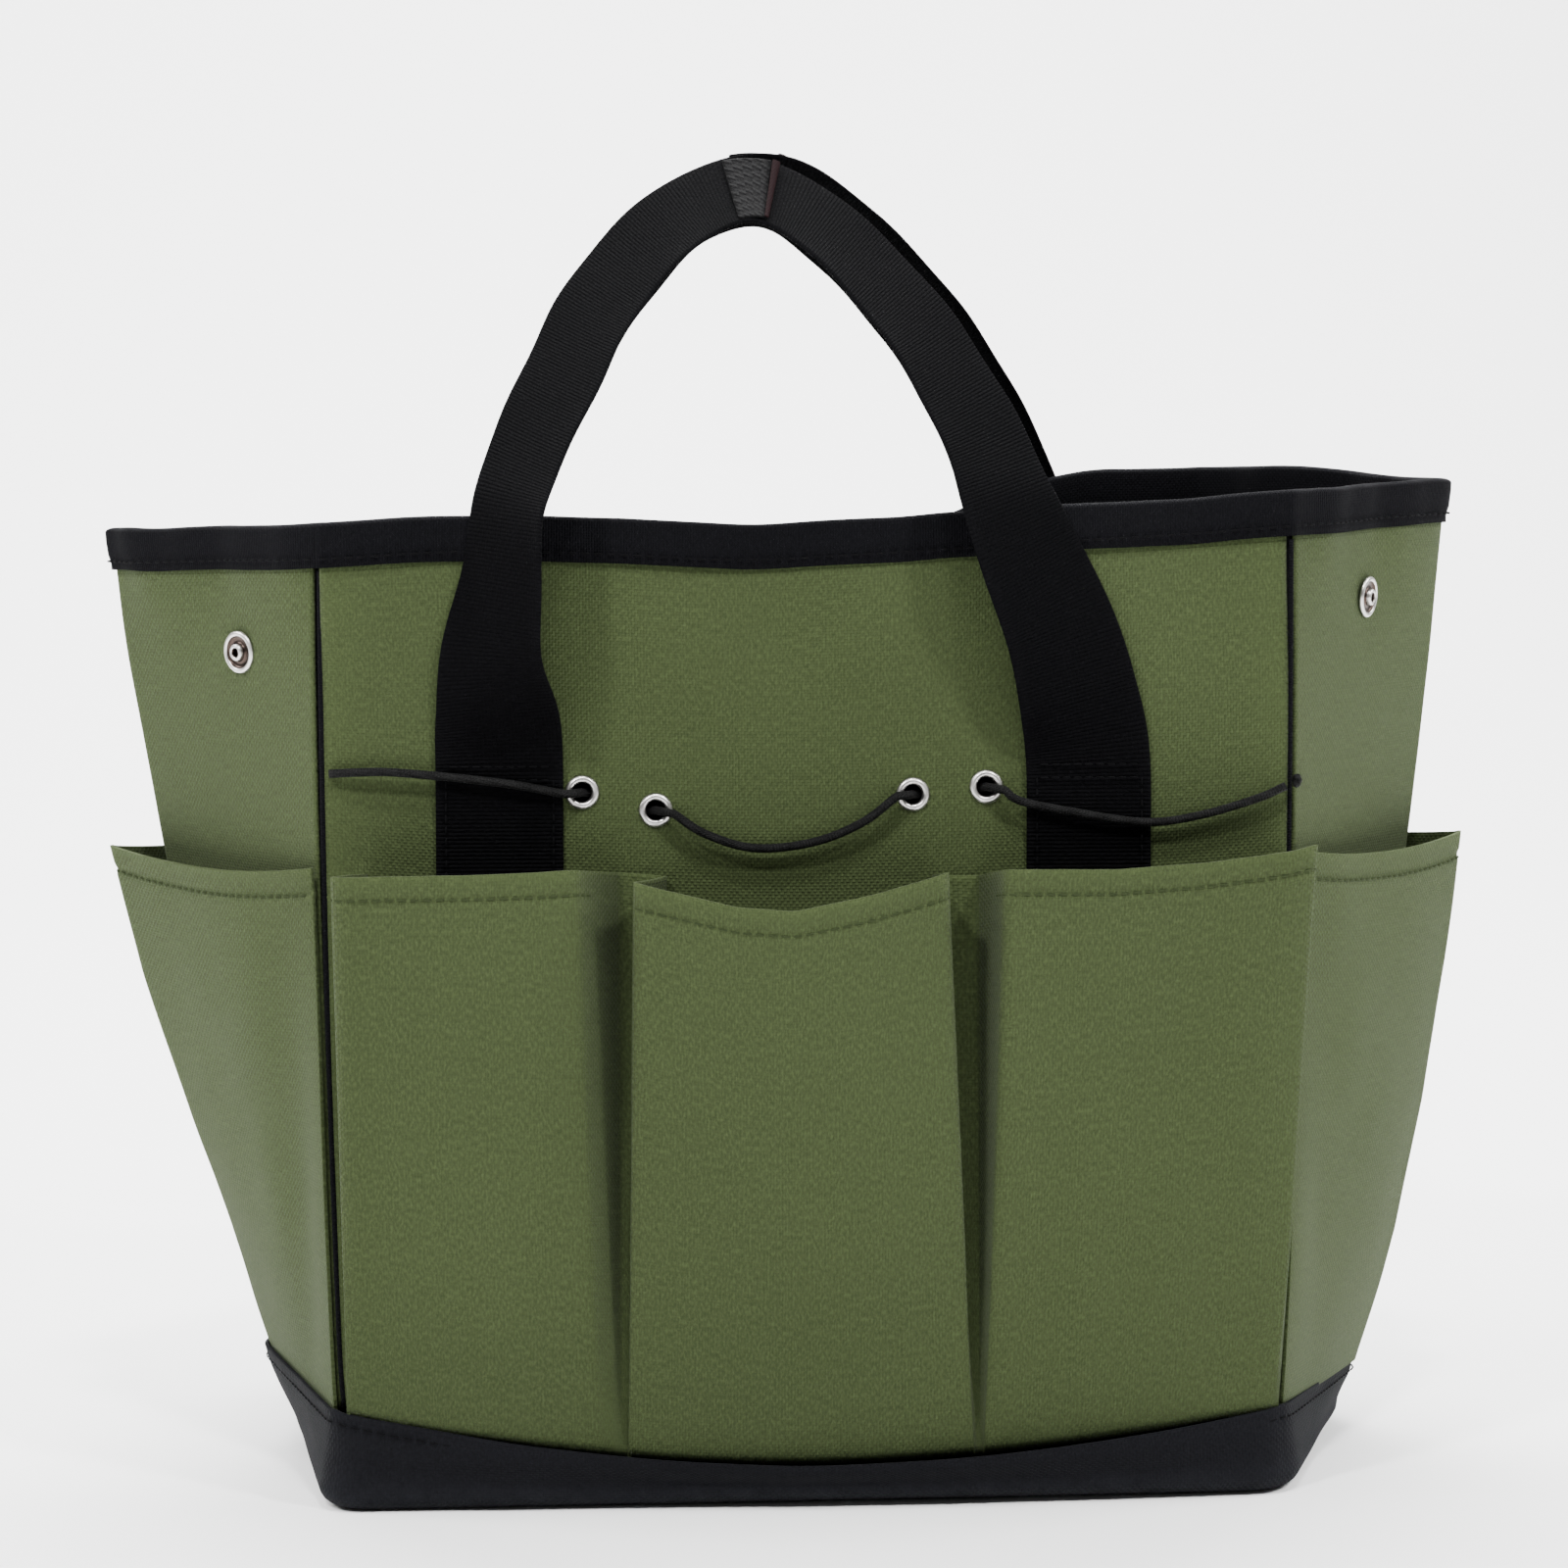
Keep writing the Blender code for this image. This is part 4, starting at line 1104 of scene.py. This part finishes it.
# Elastic cord: the route's points repeat the CAD route, as x, distance from the panel and
# z. DIVE is its way through an eyelet, as x from the eyelet and distance from the panel.
CORD_R = 0.0013
DIVE = ((-0.0052, 0.0036), (-0.0030, 0.0029), (-0.0012, 0.0013), (0.0, -0.0006),
        (0.0012, -0.0025), (0.0030, -0.0041), (0.0052, -0.0047))
EYELETS = ((-0.0688, 0.2155), (-0.0468, 0.2101), (0.0309, 0.2144), (0.0532, 0.2166))
CORD_LEFT = ((-0.1440, 0.0020, 0.2215), (-0.1360, 0.0034, 0.2219), (-0.1254, 0.0040, 0.2219),
             (-0.1051, 0.0040, 0.2200), (-0.0880, 0.0040, 0.2178))
CORD_SAG = ((-0.0321, 0.0042, 0.2030), (-0.0173, 0.0042, 0.1987), (0.0004, 0.0042, 0.2004),
            (0.0151, 0.0042, 0.2062))
CORD_RIGHT = ((0.0626, 0.0042, 0.2125), (0.0778, 0.0042, 0.2092), (0.1008, 0.0042, 0.2058),
              (0.1179, 0.0042, 0.2078), (0.1353, 0.0040, 0.2127), (0.1442, 0.0034, 0.2164))


def front_point(x, z, out):
    """A point that stands out from the front panel at x and z."""
    lean = math.atan(WALL_LEAN)
    return np.array([x, -half_depth(z) - out * math.cos(lean), z + out * math.sin(lean)])


def cord_route():
    route = [front_point(x, z, out) for x, out, z in CORD_LEFT]
    for number, (x, z) in enumerate(EYELETS):
        outward = number % 2 == 1
        turn_z = z - (0.0010 if outward else 0.0004)
        dive = [(-dx, out) for dx, out in reversed(DIVE)] if outward else DIVE
        route += [front_point(x + dx, mix(z, turn_z, abs(dx) / DIVE[-1][0]), out)
                  for dx, out in dive]
        if number == 1:
            route += [front_point(x, z, out) for x, out, z in CORD_SAG]
    route += [front_point(x, z, out) for x, out, z in CORD_RIGHT]
    ends = [2 * route[0] - route[1]], [2 * route[-1] - route[-2]]
    return smooth_path(ends[0] + route + ends[1], 0.0016)


def build_cord():
    path = cord_route()
    cord = dressed("elastic_lacing", tube_mesh("elastic_lacing", path, CORD_R, 12), CORD_COVER)
    centre = np.array(node_centre("cord_knot"))
    knot_size, knot_r = 0.00050, 0.00085
    turns = even(0, 2 * math.pi, 90)[:-1]
    loop = np.column_stack([np.sin(turns) + 2 * np.sin(2 * turns),
                            np.cos(turns) - 2 * np.cos(2 * turns), -np.sin(3 * turns) * 1.2])
    loop = loop[:, (2, 0, 1)] * knot_size + centre
    knot = dressed("lacing_knot", tube_mesh("lacing_knot", loop, knot_r, 8), CORD_COVER)
    place_piece(cord, "elastic_cord", slot="black_cord")
    place_piece(knot, "cord_knot", slot="black_cord")
    length = round(float(travelled(path)[-1]), 3)


# Metal fittings: profiles are (radius, height) in millimetres, turned round the axis
EYELET_PROFILE = ((3.3, -1.9), (3.3, 0.2), (4.6, 0.2), (5.15, 0.1), (5.15, 0.3), (4.9, 0.75),
                  (4.5, 1.05), (4.0, 1.2), (3.6, 1.15), (3.2, 0.9), (3.0, 0.5), (2.95, -1.9))
STUD_PROFILE = ((0, 0.2), (6.4, 0.2), (6.5, 0.4), (6.5, 0.7), (6.25, 1.05), (5.8, 1.25),
                (5.4, 1.25), (5.0, 1.0), (4.8, 0.6), (4.6, 0.35), (3.2, 0.3), (2.8, 0.5),
                (2.6, 1.0), (2.65, 1.6), (2.5, 2.0), (2.1, 2.25), (1.8, 2.25), (1.5, 2.1),
                (1.3, 1.7), (1.3, 0.5), (0, 0.5))
SOCKET_PROFILE = ((0, 0.2), (6.4, 0.2), (6.5, 0.5), (6.5, 0.9), (6.1, 1.5), (5.4, 2.1),
                  (4.6, 2.4), (3.9, 2.4), (3.4, 2.1), (3.15, 1.6), (3.1, 0.7), (0, 0.6))
CAP_PROFILE = ((0, -3.8), (4.0, -3.7), (5.4, -3.5), (6.0, -3.2), (6.2, -2.9), (5.6, -2.6),
               (1.3, -2.5), (1.3, -1.0), (0, -1.0))
# Share of the half gusset from its corner, and height
SNAP_PLACES = {"left": (0.39, 0.256), "right": (0.50, 0.2720)}


def turned_piece(name, profile, point, axis, node):
    """A turned metal piece; the deep hollows of snap studs and sockets get a dark nickel as painted
    shade.
    """
    axis = Vector(axis).normalized()
    first = axis.orthogonal().normalized()
    second = axis.cross(first)
    ring = []
    for angle in even(0, 2 * math.pi, 49):
        away = first * math.cos(angle) + second * math.sin(angle)
        ring.append([Vector(point) + away * radius * 0.001 + axis * height * 0.001
                     for radius, height in profile + profile[:1]])
    points = np.array(ring).reshape(-1, 3)
    mesh = grid_mesh(name, points, len(ring), len(profile) + 1)
    weld_ends(mesh)
    mesh.materials.append(NICKEL)
    mesh.materials.append(HOLLOW_SHADE)
    for face in mesh.polygons:
        offset = face.center - Vector(point)
        height = offset.dot(axis)
        radius = (offset - axis * height).length
        in_hole = radius < 0.0015 and height < 0.0020
        in_groove = 0.0026 < radius < 0.0049 and 0.0002 < height < 0.0010
        in_socket = radius < 0.0031 and height < 0.0012
        # The hollows and groove of studs and the hole of sockets take the dark nickel, as painted
        # shade
        if "stud" in name and (in_hole or in_groove) or "socket" in name and in_socket:
            face.material_index = 1
    mesh.set_sharp_from_angle(angle=math.radians(50))
    place_piece(new_object(name, mesh), node, slot="silver_metal")


def build_eyelets():
    for number, (x, z) in enumerate(EYELETS, 1):
        point = front_point(x, z, 0.0)
        node = "eyelet_%d" % number
        turned_piece(node + "_rim", EYELET_PROFILE, point, front_point(x, z, 0.01) - point, node)


def build_snaps():
    for end, first in (("right", 1), ("left", 4)):
        share, z = SNAP_PLACES[end]
        for half, place in (("front", first + share), ("back", first + 2 - share)):
            if end == "left":
                place = 2 * first + 2 - place
            point = wall(place, z, 0.0003 + billow(np.array([place]), z))[0]
            axis = wall(place, z, 0.01)[0] - wall(place, z, 0.0)[0] - (0, 0, 0.0008)
            # The snap pulls its cloth round, to face the front or the back a little more
            axis[1] *= 1.25
            kind = "stud" if half == "front" else "socket"
            profile = STUD_PROFILE if half == "front" else SOCKET_PROFILE
            name = "%s_%s_snap_" % (end, half)
            turned_piece(name + kind + "_face", profile, point, axis, name + kind)
            turned_piece(name + "inner_cap", CAP_PROFILE, point, axis, name + "cap")


def dress_cad_nodes():
    """The CAD solids that stay: only their materials change."""
    looks = {"washer": NICKEL, "board": BOARD}
    for name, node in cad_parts.items():
        for word, look in looks.items():
            if word in name:
                node.data.materials.clear()
                node.data.materials.append(look)


# Room, light and camera. Each light: place, target, width and height, power in watts
AIM = (0, 0, 0.2)
LIGHTS = {
    "left_softbox": ((-1.50, 0.0, 1.25), AIM, (0.7, 0.7), 36),
    "right_softbox": ((1.50, 0.0, 1.25), AIM, (0.7, 0.7), 33),
    "left_key": ((-0.75, -1.05, 1.50), AIM, (0.14, 0.14), 29),
    "right_key": ((0.80, -1.05, 1.50), AIM, (0.14, 0.14), 25),
    "top_key": ((0.0, -0.90, 2.30), AIM, (0.20, 0.20), 38),
    "floor_wash": ((0.0, 1.3, 2.4), (0, 1.2, 0), (2.4, 1.2), 230),
}
CAMERA_PLACE = (-0.1131, -1.28, 0.3267)
CAMERA_LENS = 92.3
CAMERA_TURN = {"azimuth": -5.0, "pitch": 5.17, "roll": 0.15}


def build_stage():
    """A pale floor that curves up into a backdrop."""
    bpy.ops.mesh.primitive_grid_add(x_subdivisions=60, y_subdivisions=60, size=1)
    floor = bpy.context.object
    floor.name = "studio_floor"
    width, depth, middle_y = 8, 7, 0.6
    curve_start, radius = 1.2, 1.0
    for vert in floor.data.vertices:
        x, y = vert.co.x * width, vert.co.y * depth + middle_y
        beyond = max(0.0, y - curve_start)
        angle = min(beyond / radius, math.pi / 2)
        rest = max(0.0, beyond - radius * math.pi / 2)
        vert.co = (x, min(y, curve_start) + radius * math.sin(angle),
                   radius * (1 - math.cos(angle)) + rest)
    floor.data.shade_smooth()
    material, _, shader = start_material("studio_paper", 0.9)
    shader.inputs["Base Color"].default_value = (0.95, 0.95, 0.95, 1.0)
    floor.data.materials.append(material)


def area_light(name, place, target, size, power):
    light = bpy.data.lights.new(name, "AREA")
    light.shape = "RECTANGLE"
    light.size, light.size_y = size
    light.energy = power
    item = bpy.data.objects.new(name, light)
    item.location = place
    item.rotation_mode = "QUATERNION"
    item.rotation_quaternion = (Vector(target) - Vector(place)).to_track_quat("-Z", "Y")
    bpy.context.scene.collection.objects.link(item)


def build_lights():
    world = bpy.data.worlds.new("studio")
    world.use_nodes = True
    world.node_tree.nodes["Background"].inputs[0].default_value = (1, 1, 1, 1)
    world.node_tree.nodes["Background"].inputs[1].default_value = 0.17
    bpy.context.scene.world = world
    for name, settings in LIGHTS.items():
        area_light(name, *settings)


def build_camera():
    camera = bpy.data.cameras.new("camera")
    camera.sensor_width = 36.0
    camera.lens = CAMERA_LENS
    item = bpy.data.objects.new("camera", camera)
    item.location = CAMERA_PLACE
    azimuth, pitch, roll = [math.radians(CAMERA_TURN[way]) for way in
                            ("azimuth", "pitch", "roll")]
    look = Vector((-math.sin(azimuth) * math.cos(pitch), math.cos(azimuth) * math.cos(pitch),
                   -math.sin(pitch)))
    item.rotation_mode = "QUATERNION"
    item.rotation_quaternion = (look.to_track_quat("-Z", "Y")
                                @ Matrix.Rotation(roll, 3, "Z").to_quaternion())
    bpy.context.scene.collection.objects.link(item)
    bpy.context.scene.camera = item


build_camera()
build_cord()
build_walls()
build_lining()
build_base()
build_binding()
build_piping()
front_columns, front_shape = pocket_strip("front_pockets", "front_pocket_strip", 1, 11.0)
back_columns, back_shape = pocket_strip("back_pockets", "back_pocket_strip", -1, 17.0)
right_shape = side_pocket("right_pocket", "right_side_pocket", 1, RIGHT_RISES, RIGHT_STANDS,
                          0.0020, 23.0)
left_shape = side_pocket("left_pocket", "left_side_pocket", 4, LEFT_RISES, LEFT_STANDS,
                         0.0036, 29.0)
build_pocket_stitches("front_pocket_stitches", front_columns, front_shape, 1)
build_pocket_stitches("back_pocket_stitches", back_columns, back_shape, -1)
build_side_stitches("right_pocket_stitches", right_shape, 1)
build_side_stitches("left_pocket_stitches", left_shape, 4)
build_handles()
build_rim_stitches()
build_base_stitches()
build_strap_stitches()
build_eyelets()
build_snaps()
dress_cad_nodes()
build_stage()
build_lights()
